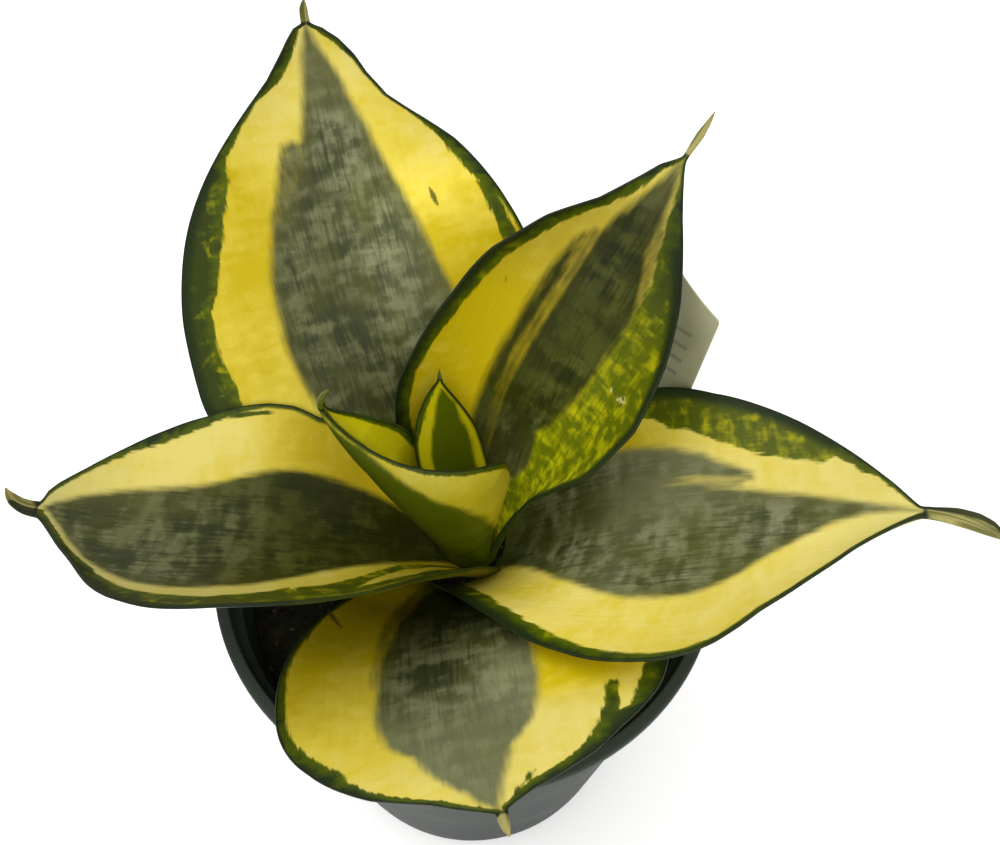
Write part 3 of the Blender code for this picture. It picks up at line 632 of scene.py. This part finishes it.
# Materials
class Graph:
    """Short calls for building a material's nodes."""

    def __init__(self, name):
        self.material = bpy.data.materials.new(name)
        self.material.use_nodes = True
        self.tree = self.material.node_tree
        self.shader = self.tree.nodes["Principled BSDF"]

    def set(self, socket, value):
        if isinstance(value, bpy.types.NodeSocket):
            self.tree.links.new(value, socket)
        elif isinstance(value, (tuple, list)) and len(value) == 3 and len(socket.default_value) == 4:
            socket.default_value = (*value, 1)
        else:
            socket.default_value = value

    def node(self, kind, settings, *values, **named):
        """A new node with its settings, then its inputs in order or by name."""
        made = self.tree.nodes.new(kind)
        for key, value in settings.items():
            setattr(made, key, value)
        for socket, value in [*zip(made.inputs, values), *((made.inputs[key], named[key]) for key in named)]:
            self.set(socket, value)
        return made

    def math(self, operation, *values, clamp=False):
        return self.node("ShaderNodeMath", dict(operation=operation, use_clamp=clamp), *values).outputs[0]

    def times(self, value, factor):
        return self.math("MULTIPLY", value, factor)

    def minus(self, first, second):
        return self.math("SUBTRACT", first, second)

    def sum(self, *terms):
        """The sum of values and of (value, factor) pairs."""
        terms = [self.times(*term) if isinstance(term, tuple) else term for term in terms]
        made = terms[0]
        for term in terms[1:]:
            made = self.math("ADD", made, term)
        return made

    def span(self, value, low, high, start=0.0, end=1.0, smooth=True):
        """Maps low..high to start..end and holds beyond."""
        kind = "SMOOTHSTEP" if smooth else "LINEAR"
        return self.node("ShaderNodeMapRange", dict(interpolation_type=kind), value, low, high, start, end).outputs[0]

    def mix(self, factor, first, second, blend="MIX"):
        made = self.node("ShaderNodeMix", dict(data_type="RGBA", blend_type=blend), factor)
        self.set(made.inputs[6], first)
        self.set(made.inputs[7], second)
        return made.outputs[2]

    def coats(self, colour, *layers):
        """Covers a colour with layers of (value, low, high, start, end, colour), each as span and mix read them."""
        for *reading, tone in layers:
            colour = self.mix(self.span(*reading), colour, tone)
        return colour

    def vector(self, x, y, z):
        return self.node("ShaderNodeCombineXYZ", {}, x, y, z).outputs[0]

    def split(self, vector):
        return self.node("ShaderNodeSeparateXYZ", {}, vector).outputs

    def channels(self, colour):
        return self.node("ShaderNodeSeparateColor", {}, colour).outputs

    def attribute(self, name, output="Vector"):
        return self.node("ShaderNodeAttribute", dict(attribute_name=name)).outputs[output]

    def place(self):
        """Coordinates that are fixed to the object."""
        return self.node("ShaderNodeTexCoord", {}).outputs["Object"]

    def noise(self, vector, scale=1.0, detail=3.0, roughness=0.5, distortion=0.0):
        return self.node("ShaderNodeTexNoise", {}, Vector=vector, Scale=scale, Detail=detail, Roughness=roughness,
                         Distortion=distortion).outputs[0]

    def cells(self, vector, scale, feature="F1"):
        return self.node("ShaderNodeTexVoronoi", dict(feature=feature), Vector=vector, Scale=scale).outputs

    def bump(self, height, distance, strength):
        return self.node("ShaderNodeBump", {}, Strength=strength, Distance=distance, Height=height).outputs[0]

    def finish(self, colour, roughness, normal=None, **constants):
        constants = {"Base Color": colour, "Roughness": roughness, **constants}
        if normal is not None:
            constants["Normal"] = normal
        for key, value in constants.items():
            self.set(self.shader.inputs[key.replace("_", " ")], value)
        return self.material


def shade(red, green, blue):
    """A colour as it looks on screen, from 0 to 255, turned into scene values."""
    return tuple(v / 3294.6 if v <= 10.31 else ((v / 255 + 0.055) / 1.055) ** 2.4 for v in (red, green, blue))


# Leaf colours as they look in the photograph's light, before LEAF_SHARE takes the studio's light out
LEAF_SHARE = 0.62
PALE_YELLOW = shade(243, 225, 120)
WARM_YELLOW = shade(233, 211, 72)
# The deep yellow serves both as the leaf's own deeper tone and as painted shade
DEEP_YELLOW = shade(212, 187, 14)
GREY_LIGHT = shade(138, 140, 102)
GREY_MIDDLE = shade(103, 106, 67)
GREY_DARK = shade(50, 56, 26)
BAND_OLIVE = shade(99, 99, 42)
# Colour share left on the band by its painted shade at full strength
BAND_SHADE_SHARE = (0.35, 0.38, 0.11)
MARGIN_RIM = shade(22, 33, 18)
MARGIN_DARK = shade(36, 50, 20)
MARGIN_GREEN = shade(76, 90, 2)
MARGIN_OPEN = shade(104, 113, 2)
MARGIN_LIME = shade(176, 174, 10)
GREEN_YELLOW = shade(188, 186, 12)
HAZE_YELLOW = shade(196, 194, 140)
LEAF_GREEN = shade(84, 95, 4)
SPINE_STRAW = shade(176, 167, 100)
SPINE_OLIVE = shade(112, 110, 54)
# Colour share left by the painted shade at full strength
PAINTED_SHADE_SHARE = (0.20, 0.19, 0.10)

# Small marks: the leaf, two ends as (across, along) in millimetres, half width, how ragged, and colour
SCARS = (
    ("leaf_back_left", (18.0, 76.6), (18.8, 72.6), 0.62, 0.6, shade(58, 68, 8)),
    ("leaf_back_right", (-19.6, 64.6), (-18.7, 63.2), 0.16, 0.3, shade(128, 112, 30)),
    ("leaf_back_right", (15.8, 54.2), (18.6, 54.9), 0.62, 2.6, shade(204, 192, 122)),
    ("leaf_back_right", (12.8, 54.9), (13.7, 54.2), 0.24, 1.0, shade(208, 200, 130)),
    ("leaf_front", (29.8, 20.6), (25.8, 24.8), 0.5, 0.6, shade(112, 88, 52)),
    ("leaf_front", (30.2, 20.2), (29.0, 21.4), 0.4, 0.3, shade(52, 34, 18)),
)


def scar_spot(g, across, along, grain, start, end, half_width, rough):
    """Strength of a ragged mark that runs between two points and tapers at both."""
    run = end[0] - start[0], end[1] - start[1]
    right, up = g.minus(across, start[0]), g.minus(along, start[1])
    share = g.math("DIVIDE", g.sum((right, run[0]), (up, run[1])), run[0] ** 2 + run[1] ** 2, clamp=True)
    right, up = g.sum(right, (share, -run[0])), g.sum(up, (share, -run[1]))
    far = g.math("SQRT", g.sum((right, right), (up, up)))
    taper = g.math("ABSOLUTE", g.minus(share, 0.5))
    far = g.sum(far, (grain, rough), (taper, half_width * 1.4), -rough / 2)
    return g.span(far, half_width * 0.6, half_width * 1.4, 0.85, 0.0)


def leaf_material():
    """Yellow blade, grey-green barred middle, dark mottled margins, with painted shade and painted light laid over
    them per leaf; both faces carry the pattern.
    """
    g = Graph("Leaf skin")
    band, margin, edge = g.split(g.attribute("zones"))
    across, along, past = g.split(g.attribute("place"))
    mottled, middle, seed = g.split(g.attribute("nature"))
    deep_and_shade, painted_shade_and_light, band_shade_and_light = g.split(g.attribute("shades"))
    haze = g.split(g.attribute("mist"))[0]
    under = g.attribute("under", "Fac")

    def field(wide, tall, shift, detail=2.0, roughness=0.55, distortion=0.0):
        """Noise whose bumps are about wide by tall millimetres."""
        place = g.vector(g.times(across, 1 / wide), g.times(along, 1 / tall), g.sum(seed, shift))
        return g.noise(place, 1.0, detail, roughness, distortion)

    patch = field(12, 16, 1)
    streak = field(0.9, 16, 2)
    bars = field(4.5, 2.2, 3, 2.0, 0.5, 0.4)
    dashes = field(0.6, 5.5, 4, 2.0, 0.5)
    lines = field(1.1, 26, 10)
    grain = field(0.45, 0.6, 5)
    blotch = field(2.6, 3.2, 6, 3.0)
    brush = field(0.7, 7, 7, 3.0, 0.6)
    tuft = field(2.0, 5, 8, 3.0, 0.6)
    cloud = field(5, 9, 9)
    rows = field(13, 4.2, 11, 1.0)

    def tiles(wide, tall, feature="F1"):
        """Cells of about wide by tall millimetres: one random value in each, or the way to its border."""
        bend = g.times(g.sum(blotch, -0.5), 1.1)
        place = g.vector(g.sum((across, 1 / wide), bend), g.sum((along, 1 / tall), bend), seed)
        made = g.cells(place, 1.0, feature)
        return g.channels(made["Color"])[0] if feature == "F1" else made["Distance"]

    cell = tiles(2.3, 1.5)
    border = tiles(2.3, 1.5, "DISTANCE_TO_EDGE")
    block = tiles(5.0, 2.4)

    # Yellow, from pale to deep; the deeper yellow is partly the leaf's own tone and partly painted shade
    depth = g.sum(deep_and_shade, (patch, 0.7), (bars, 0.55), (cloud, 0.5), (streak, -0.25), (block, 0.16), -0.83)
    yellow = g.mix(g.span(depth, 0.0, 0.5, smooth=False), PALE_YELLOW, WARM_YELLOW)
    yellow = g.mix(g.span(depth, 0.5, 1.0, smooth=False), yellow, DEEP_YELLOW)
    yellow = g.mix(g.times(haze, 0.6), yellow, HAZE_YELLOW)
    face = g.minus(middle, g.times(middle, under))
    yellow = g.mix(g.sum((face, 0.3), (middle, 0.3)), yellow, GREEN_YELLOW)

    # Grey-green middle: pale patches in rows across it, dark dashes along it in clusters
    tone = g.sum((bars, 0.9), (blotch, 0.9), (cloud, 0.5), (grain, 0.15), (cell, 0.2), (rows, 1.3))
    grey = g.mix(g.span(tone, 1.75, 2.3), GREY_MIDDLE, GREY_LIGHT)
    dark = g.sum((dashes, 0.45), (cloud, -1.0), (blotch, -0.5), (lines, 0.3), (rows, -0.9))
    ticks = g.sum(dashes, (bars, -0.6), (lines, 0.3))
    grey = g.coats(
        grey, (dark, -0.95, -0.6, 0.0, 0.65, GREY_DARK), (ticks, 0.32, 0.52, 0.0, 0.4, GREY_DARK),
        (lines, 0.48, 0.66, 0.0, 0.12, GREY_DARK), (border, 0.0, 0.2, 0.1, 0.0, GREY_DARK),
        (patch, 0.42, 0.64, 0.0, 0.45, BAND_OLIVE), (band, 0.5, 4.5, 0.5, 0.0, BAND_OLIVE))
    plain = g.mix(g.span(g.sum(dashes, (bars, 0.4)), 0.5, 0.95, 0.0, 0.5), LEAF_GREEN, MARGIN_GREEN)
    # Painted shade on the band where its value is positive, painted light where it is negative
    grey = g.mix(g.times(band_shade_and_light, -1.0), grey, GREY_LIGHT)
    grey = g.mix(band_shade_and_light, grey, g.mix(1.0, grey, BAND_SHADE_SHARE, "MULTIPLY"))
    grey = g.mix(middle, grey, plain)

    # Green margin: dark outside, broken up with green and lime towards the yellow
    away = g.span(edge, 0.7, 3.4)
    open_up = g.math("MULTIPLY", g.span(mottled, 0.2, 2.0, 0.0, 1.0, smooth=False), away, clamp=True)
    mottle = g.sum((bars, 0.9), (blotch, 0.5), (brush, 0.3), (cloud, 0.6))
    inner = g.sum(margin, (brush, 1.2), (mottle, -7.0), 7.4)
    green = g.mix(g.span(inner, 0.2, 3.4), MARGIN_GREEN, MARGIN_DARK)
    green = g.mix(g.times(open_up, 0.8), green, MARGIN_OPEN)
    level = g.minus(1.44, g.times(open_up, 0.28))
    lime = g.times(g.span(g.minus(mottle, level), -0.17, 0.27), away)
    green = g.mix(lime, green, MARGIN_LIME)
    streaks = g.times(g.span(g.sum(dashes, (blotch, -0.4)), 0.32, 0.5), open_up)
    green = g.mix(g.times(streaks, 0.45), green, MARGIN_GREEN)

    # Where each zone begins: soft for the band, ragged along the leaf for the margin
    wander = g.sum((tuft, 1.4), (streak, 1.1), -1.25)
    crisp = g.sum((face, 0.9), 1.0)
    in_band = g.span(g.times(g.sum(band, wander), crisp), -1.5, 1.1)
    ragged = g.sum((brush, 1.8), (tuft, 2.0), -1.9)
    limit = g.span(edge, 0.0, 2.0, 0.1, 1.0)
    blur = g.span(mottled, 1.72, 1.9, 0.4, 1.4)
    in_margin = g.span(g.sum(margin, g.times(ragged, limit)), g.times(blur, -1.0), blur)
    colour = g.mix(in_band, yellow, grey)
    colour = g.mix(in_margin, colour, green)
    rim = g.span(g.sum(edge, (tuft, 0.5)), 0.20, 0.60, 0.85, 0.0)
    colour = g.mix(rim, colour, MARGIN_RIM)
    for name, start, end, half_width, ragged_by, tone in SCARS:
        spot = scar_spot(g, across, along, grain, start, end, half_width, ragged_by)
        spot = g.times(spot, g.math("COMPARE", seed, leaf_seed(name), 0.1))
        colour = g.mix(g.times(spot, g.minus(1.0, under)), colour, tone)

    # Foot of the blade, under face and spine
    colour = g.mix(g.span(along, 2, 12, 0.7, 0.0), colour, LEAF_GREEN)
    dull = g.mix(g.span(in_band, 0.0, 1.0, 0.12, 0.8), colour, LEAF_GREEN)
    colour = g.mix(under, colour, dull)
    spine = g.coats(SPINE_STRAW, (streak, 0.35, 0.65, SPINE_OLIVE))
    spine = g.mix(g.times(middle, 0.8), spine, LEAF_GREEN)
    spine = g.mix(g.times(in_margin, 0.9), spine, MARGIN_RIM)
    spine = g.mix(g.span(g.math("ABSOLUTE", g.minus(past, 0.1)), 0.1, 0.7, 0.8, 0.0), spine, MARGIN_RIM)
    colour = g.mix(g.span(past, -0.4, 0.2), colour, spine)
    # Painted shade over the whole skin, per leaf and side, and painted light where the value is negative
    painted_shade_factor = g.vector(*[g.sum(1.0, (painted_shade_and_light, share - 1)) for share in PAINTED_SHADE_SHARE])
    colour = g.mix(1.0, colour, painted_shade_factor, "MULTIPLY")
    colour = g.mix(1.0, colour, (LEAF_SHARE,) * 3, "MULTIPLY")

    relief = g.sum((streak, 0.9), (bars, 0.3), (grain, 0.1))
    normal = g.bump(relief, 0.0002, 0.5)
    rough = g.sum((grain, 0.10), (blotch, 0.12), 0.30)
    return g.finish(colour, rough, normal, Specular_IOR_Level=0.09)


def plastic_material():
    """Dark green-black moulded plastic with faint flow marks and scuffs, and painted light that makes the rim lighter
    than the wall.
    """
    g = Graph("Pot plastic skin")
    place = g.place()
    cloud = g.noise(place, 60, 4)
    fine = g.noise(place, 1400, 2)
    scuff = g.noise(place, 260, 4, 0.7, 1.5)
    height = g.split(place)[2]
    # Painted light: the coat by height makes the top few millimetres round the rim lighter
    colour = g.coats(
        shade(37, 42, 38), (cloud, 0.35, 0.7, shade(44, 50, 45)), (height, 0.080, 0.086, 0.0, 0.7, shade(56, 63, 56)),
        (scuff, 0.62, 0.75, 0.0, 0.25, shade(84, 88, 80)))
    rough = g.sum((cloud, 0.18), (fine, 0.08), 0.27)
    normal = g.bump(fine, 0.00004, 0.5)
    return g.finish(colour, rough, normal, Specular_IOR_Level=0.03)


def soil_material():
    """Dark damp potting mix: brown-black crumb with a few fibres and pale grit."""
    g = Graph("Potting mix crumb")
    place = g.place()
    lump = g.noise(place, 240, 5, 0.65)
    fine = g.noise(place, 1500, 3, 0.6)
    grit, fibre = g.channels(g.cells(place, 1300)["Color"])[:2]
    colour = g.coats(
        shade(15, 16, 10), (lump, 0.35, 0.7, shade(36, 34, 23)), (fine, 0.55, 0.75, 0.0, 0.35, shade(40, 33, 20)),
        (grit, 0.975, 0.985, 0.0, 0.5, shade(84, 78, 62)), (fibre, 0.965, 0.975, 0.0, 0.4, shade(58, 36, 22)))
    normal = g.bump(g.sum(lump, (fine, 0.5)), 0.0006, 0.9)
    return g.finish(colour, g.span(fine, 0.3, 0.7, 0.75, 0.95), normal, Specular_IOR_Level=0.1)


def rhizome_material():
    """Pale papery rhizome skin with rings and brown scars."""
    g = Graph("Rhizome papery skin")
    place = g.place()
    flattened = g.node("ShaderNodeMapping", {}, place, Scale=(1, 1, 5)).outputs[0]
    rings = g.noise(flattened, 160, 3)
    spots = g.noise(place, 420, 4, 0.6)
    colour = g.coats(shade(150, 128, 82), (rings, 0.35, 0.65, shade(188, 172, 118)),
                     (spots, 0.58, 0.72, 0.0, 0.7, shade(92, 66, 40)))
    return g.finish(colour, g.span(spots, 0.3, 0.7, 0.5, 0.8), g.bump(rings, 0.0005, 0.7))


def card_material():
    """Off-white plastic card, faintly mottled, with plain grey bars on its face."""
    g = Graph("Label card face")
    across, down, front = g.split(g.attribute("card"))
    place = g.place()
    cloud = g.noise(place, 90, 4)
    fine = g.noise(place, 2200, 2)
    colour = g.coats(shade(150, 150, 118), (cloud, 0.3, 0.7, shade(172, 171, 140)),
                     (fine, 0.5, 0.75, 0.0, 0.2, shade(134, 131, 100)))
    line = g.sum(down, (across, -0.4))
    bars = g.span(g.math("PINGPONG", g.sum(line, 0.9), 1.8), 1.25, 1.35)
    bars = g.times(bars, g.span(g.math("ABSOLUTE", across), 8.0, 8.2, 1.0, 0.0))
    bars = g.times(bars, g.span(g.math("ABSOLUTE", g.minus(line, 17)), 8.0, 8.1, 1.0, 0.0))
    bars = g.times(bars, front)
    colour = g.mix(g.times(bars, 0.5), colour, shade(96, 96, 88))
    normal = g.bump(fine, 0.00003, 0.4)
    return g.finish(colour, g.span(cloud, 0.3, 0.7, 0.38, 0.5), normal, Specular_IOR_Level=0.4)


def floor_material():
    g = Graph("Pale floor paper")
    colour = g.mix(g.noise(g.place(), 3, 3), shade(252, 252, 251), shade(255, 255, 254))
    return g.finish(colour, 0.8, Specular_IOR_Level=0.1)


# Pot
def arc(centre, radius, start, end, count):
    """Points of an arc in the pot's profile, angles in degrees."""
    ways = [polar(radius, math.radians(t)) for t in np.linspace(start, end, count)]
    return [(centre[0] + x, centre[1] + y) for x, y in ways]


def lathe(name, profile, sides):
    """A closed solid of revolution; the profile runs from axis to axis."""
    bm = bmesh.new()
    rings = []
    for radius, height in profile:
        ways = [polar(radius, 2 * math.pi * k / sides) for k in range(sides)] if radius > 1e-6 else [(0, 0)]
        rings.append([bm.verts.new((x * MM, y * MM, height * MM)) for x, y in ways])
    for upper, lower in zip(rings, rings[1:]):
        for k in range(sides):
            nxt = (k + 1) % sides
            if len(upper) == 1:
                bm.faces.new((upper[0], lower[nxt], lower[k]))
            elif len(lower) == 1:
                bm.faces.new((upper[k], upper[nxt], lower[0]))
            else:
                bm.faces.new((upper[k], upper[nxt], lower[nxt], lower[k]))
    bmesh.ops.recalc_face_normals(bm, faces=bm.faces)
    mesh = bpy.data.meshes.new(name)
    bm.to_mesh(mesh)
    bm.free()
    return mesh


def pot_wall_radius(height):
    """Inner radius of the tapered wall at a height, below the step."""
    step_height = POT_HEIGHT - STEP_DEPTH - WALL
    top = RIM_RADIUS - LIP_WIDTH - STEP_WIDTH
    share = (height - FLOOR) / (step_height - FLOOR)
    return BASE_RADIUS - WALL + (top - BASE_RADIUS + WALL) * share


def pot_profile():
    top, under = POT_HEIGHT, POT_HEIGHT - LIP_HEIGHT
    collar = RIM_RADIUS - LIP_OVERHANG
    inner = RIM_RADIUS - LIP_WIDTH
    step_top = top - STEP_DEPTH
    step_inner = inner - STEP_WIDTH
    low, ledge = BASE_RADIUS - WALL, step_top - WALL
    # Under the base and up the outer wall to the collar
    points = [(0, BASE_RECESS), (BASE_RADIUS - 6, BASE_RECESS), (BASE_RADIUS - 5.2, 0)]
    points += arc((BASE_RADIUS - BASE_ROUND, BASE_ROUND), BASE_ROUND, -90, -8, 6)
    for share in np.linspace(0.05, 1, 14):
        points.append((BASE_RADIUS + (step_inner + WALL - BASE_RADIUS) * share, (step_top - 2 * WALL) * share))
    points += [(collar - 0.6, ledge - 0.2), (collar - 0.15, ledge + 0.25)]
    points += [(collar, under - 1.2), (collar, under - 0.15), (collar + 0.15, under)]
    # Round the lip, over the step and down the inner wall
    points += arc((RIM_RADIUS - 0.35, under + 0.35), 0.35, -90, 0, 4)
    points += arc((RIM_RADIUS - 0.6, top - 0.6), 0.6, 0, 90, 6)
    points += arc((inner + 0.5, top - 0.5), 0.5, 90, 180, 6)
    points += [(inner - 0.2, step_top + 0.4)] + arc((inner - 0.6, step_top + 0.4), 0.4, 0, -90, 3)
    points += arc((step_inner + 0.35, step_top - 0.35), 0.35, 90, 180, 4)
    for share in np.linspace(0.05, 1, 8):
        points.append((step_inner + (low - step_inner) * share, ledge - (ledge - FLOOR) * share))
    return points + [(0, FLOOR)]


def add_pot(finish):
    shell = new_object("pot_cutting", lathe("pot_shell", pot_profile(), POT_SIDES))
    cutters = []
    low, high = DRILL_HEIGHTS
    for k in range(DRAIN_HOLES):
        x, y = polar(DRAIN_RING, 2 * math.pi * (k + 0.5) / DRAIN_HOLES)
        drill = lathe(f"drill_{k}", [(0, low), (DRAIN_RADIUS, low), (DRAIN_RADIUS, high), (0, high)], DRILL_SIDES)
        drill.transform(Matrix.Translation((x * MM, y * MM, 0)))
        cutters.append(new_object(f"drill_{k}", drill))
        trim = shell.modifiers.new(f"Drain {k}", "BOOLEAN")
        trim.object = cutters[-1]
        trim.operation = "DIFFERENCE"
    bpy.context.view_layer.update()
    made = bpy.data.meshes.new_from_object(shell.evaluated_get(bpy.context.evaluated_depsgraph_get()))
    for old in [shell, *cutters]:
        bpy.data.objects.remove(old)
    made.materials.clear()
    made.shade_smooth()
    made.set_sharp_from_angle(angle=math.radians(POT_SHARP_ANGLE))
    return add_piece("pot_moulded", made, finish, "pot_plastic", "pot")


# Soil
def soil_height(x, y):
    """Height of the soil's surface in millimetres: lumpy, mounded round the leaf feet, low at the wall."""
    far = math.hypot(x - CROWN_CENTRE[0], y - CROWN_CENTRE[1])
    rise = MOUND_HEIGHT * math.exp(-(far / MOUND_WIDTH) ** 2)
    rise -= SAG_DEPTH * max(0, math.hypot(x, y) - SAG_FROM) / SAG_WIDTH
    rough = 0.0
    for size, amount in SOIL_BUMPS:
        rough += amount * noise.noise(Vector((x / size, y / size, size)))
    return SOIL_TOP - SOIL_SINK + rise + rough


def soil_mesh():
    """Points in millimetres and faces: the surface in rings from the middle, then the wall and the floor."""
    radius = pot_wall_radius(SOIL_TOP) - SOIL_GAP
    spots = [(0.0, 0.0, soil_height(0.0, 0.0))]
    for i in range(1, SOIL_RINGS + 1):
        ring = [polar(radius * (i / SOIL_RINGS) ** 0.9, 2 * math.pi * k / SOIL_SIDES) for k in range(SOIL_SIDES)]
        spots += [(x, y, soil_height(x, y)) for x, y in ring]
    for height in (SOIL_TOP - 8, FLOOR + 0.35):
        wall = pot_wall_radius(height) - SOIL_GAP
        spots += [(*polar(wall, 2 * math.pi * k / SOIL_SIDES), height) for k in range(SOIL_SIDES)]
    faces = [(0, 1 + k, 1 + (k + 1) % SOIL_SIDES) for k in range(SOIL_SIDES)]
    faces += [tuple(1 + f[[0, 3, 2, 1]]) for f in grid_faces(SOIL_RINGS + 2, SOIL_SIDES)]
    faces.append(tuple(range(len(spots) - SOIL_SIDES, len(spots)))[::-1])
    return spots, faces


def crumb(bm, draw, place, size, flat=1.0):
    """One irregular crumb, pressed into the surface."""
    made = bmesh.ops.create_icosphere(bm, subdivisions=1 if size < 1.3 else 2, radius=size * MM)
    shift = Vector((draw.uniform(0, 90), draw.uniform(0, 90), draw.uniform(0, 90)))
    turn = Matrix.Rotation(draw.uniform(0, 2 * math.pi), 3, "Z") @ Matrix.Rotation(draw.uniform(-0.6, 0.6), 3, "X")
    stretch = (draw.uniform(0.7, 1.5), draw.uniform(0.6, 1.1), draw.uniform(0.5, 0.9) * flat)
    for vert in made["verts"]:
        way = vert.co.normalized()
        grow = 1 + 0.45 * noise.noise(way * 1.6 + shift)
        local = Vector(a * b for a, b in zip(vert.co * grow, stretch))
        vert.co = turn @ local + Vector(place) * MM


def add_soil(finish):
    spots, faces = soil_mesh()
    mesh = new_mesh("soil_bed", spots, faces)
    bm = bmesh.new()
    bm.from_mesh(mesh)
    bmesh.ops.recalc_face_normals(bm, faces=bm.faces)
    draw = random.Random(SOIL_SEED)
    radius = pot_wall_radius(SOIL_TOP) - CRUMB_GAP
    for k in range(CRUMBS + CHIPS):
        x, y = polar(radius * math.sqrt(draw.random()), draw.uniform(0, 2 * math.pi))
        if k < CRUMBS:
            size = SMALLEST_CRUMB + CRUMB_RANGE * draw.random() ** 3
            crumb(bm, draw, (x, y, soil_height(x, y) + size * 0.1), size)
        else:
            place = (x, y, soil_height(x, y) + CHIP_LIFT)
            crumb(bm, draw, place, draw.uniform(*CHIP_SIZES), CHIP_FLATNESS)
    bm.to_mesh(mesh)
    bm.free()
    mesh.shade_smooth()
    return add_piece("soil_bed", mesh, finish, "potting_mix", "soil")


# Label
def add_label(finish):
    """The card as a fine sheet that bows slightly, with rounded edges."""
    half, head = LABEL_HEAD[0] / 2, LABEL_HEAD[1]
    stake, point = STAKE_WIDTH / 2, LABEL_LENGTH - STAKE_POINT
    rows = np.concatenate([
        np.linspace(0, 3, 8), np.linspace(3.5, head, 40), np.linspace(head + 0.5, head + 9, 14),
        np.linspace(head + 10, point, 20), np.linspace(point + 1, LABEL_LENGTH, 8)])
    shares = np.linspace(-1, 1, LABEL_COLUMNS)
    corner = np.sqrt(np.maximum(LABEL_ROUND ** 2 - (LABEL_ROUND - rows) ** 2, 0))
    width = np.where(rows < LABEL_ROUND, half - LABEL_ROUND + corner, half)
    width = np.where(rows > head, np.maximum(half - (rows - head), stake), width)
    width = np.where(rows > point, stake * (1 - 0.75 * (rows - point) / STAKE_POINT), width)
    grid = np.zeros((len(rows), LABEL_COLUMNS, 3))
    grid[:, :, 0] = width[:, None] * shares[None, :]
    grid[:, :, 1] = LABEL_BOW * (shares[None, :] ** 2 - 1)
    grid[:, :, 2] = -rows[:, None]
    inset = grid.copy()
    inset[:, :, 0] *= ((width - LABEL_EDGE) / width)[:, None]

    # A ring along the front, round one edge, back along the back and round the other edge
    out = np.array([0, 1, 0]) * LABEL_THICKNESS
    columns = [inset[:, k] - out / 2 for k in range(LABEL_COLUMNS)]
    columns += [grid[:, -1] - out * 0.3, grid[:, -1] + out * 0.3]
    columns += [inset[:, k] + out / 2 for k in range(LABEL_COLUMNS - 1, -1, -1)]
    columns += [grid[:, 0] + out * 0.3, grid[:, 0] - out * 0.3]
    ring = np.stack(columns, 1)
    count = ring.shape[1]
    faces = [tuple(f) for f in grid_faces(len(rows), count)]
    faces.append(tuple(range(count))[::-1])
    faces.append(tuple((len(rows) - 1) * count + k for k in range(count)))

    # The head twists about the corner that shows, more towards its top
    twist = unit((head + TWIST_FROM - rows) / TWIST_RUN)
    twist = (np.radians(LABEL_TWIST) * twist ** 2 * (3 - 2 * twist))[:, None]
    reach, depth = ring[:, :, 0] + half, ring[:, :, 1]
    twisted = np.stack([reach * np.cos(twist) - depth * np.sin(twist) - half,
                        reach * np.sin(twist) + depth * np.cos(twist), ring[:, :, 2]], -1)
    mesh = new_mesh("label_card", twisted.reshape(-1, 3), faces)
    front = np.array([0] * (LABEL_COLUMNS + 1) + [1] * (LABEL_COLUMNS + 2) + [0])[None, :] + 0 * ring[:, :, 0]
    store_vectors(mesh, "card", np.stack([ring[:, :, 0], -ring[:, :, 2], front], -1).reshape(-1, 3))
    facing = math.radians(LABEL_FACING)
    side = Vector((-math.sin(facing), math.cos(facing), 0))
    place = Matrix.Translation((Vector(LABEL_CORNER) + side * half) * MM)
    turn = Matrix.Rotation(facing + math.pi / 2, 4, "Z") @ Matrix.Rotation(math.radians(LABEL_LEAN), 4, "X")
    mesh.transform(place @ turn)
    bm = bmesh.new()
    bm.from_mesh(mesh)
    bmesh.ops.recalc_face_normals(bm, faces=bm.faces)
    bm.to_mesh(mesh)
    bm.free()
    mesh.shade_smooth()
    mesh.set_sharp_from_angle(angle=math.radians(LABEL_SHARP_ANGLE))
    return add_piece("label_card", mesh, finish, "label_card", "plant_label")


# Floor, lights and camera
def add_floor():
    mesh = bpy.data.meshes.new("floor")
    corners = [(x * FLOOR_REACH, y * FLOOR_REACH, 0) for x, y in ((-1, -1), (1, -1), (1, 1), (-1, 1))]
    mesh.from_pydata(corners, [], [(0, 1, 2, 3)])
    mesh.materials.append(floor_material())
    floor = new_object("floor", mesh)


def add_studio():
    world = bpy.data.worlds.new("studio")
    world.use_nodes = True
    world.node_tree.nodes["Background"].inputs["Color"].default_value = (1, 1, 1, 1)
    world.node_tree.nodes["Background"].inputs["Strength"].default_value = 1.0
    bpy.context.scene.world = world
    for name, place, size, power in LAMPS:
        lamp = bpy.data.lights.new(name, "AREA")
        lamp.shape = "DISK"
        lamp.size = size
        lamp.energy = power
        made = new_object(name, lamp)
        made.location = place
        made.rotation_euler = (Vector(LAMP_TARGET) - Vector(place)).to_track_quat("-Z", "Y").to_euler()
    bpy.context.scene.view_settings.view_transform = "Standard"


def add_camera():
    """The photograph's view, from above the front of the pot."""
    lens = bpy.data.cameras.new("camera")
    lens.lens = CAMERA_LENS
    lens.sensor_width = 36
    lens.clip_start = 0.01
    camera = new_object("camera", lens)
    camera.location = CAMERA_PLACE
    camera.rotation_euler = (math.radians(90 - CAMERA_DOWN), 0, 0)
    bpy.context.scene.camera = camera


add_camera()
add_floor()
add_studio()
skin = leaf_material()
for leaf_name, leaf_shape in LEAVES.items():
    add_leaf(leaf_name, leaf_shape, skin)
add_pot(plastic_material())
add_soil(soil_material())
add_label(card_material())
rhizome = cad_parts["rhizome"]
for holder in rhizome.material_slots:
    holder.material = rhizome_material()
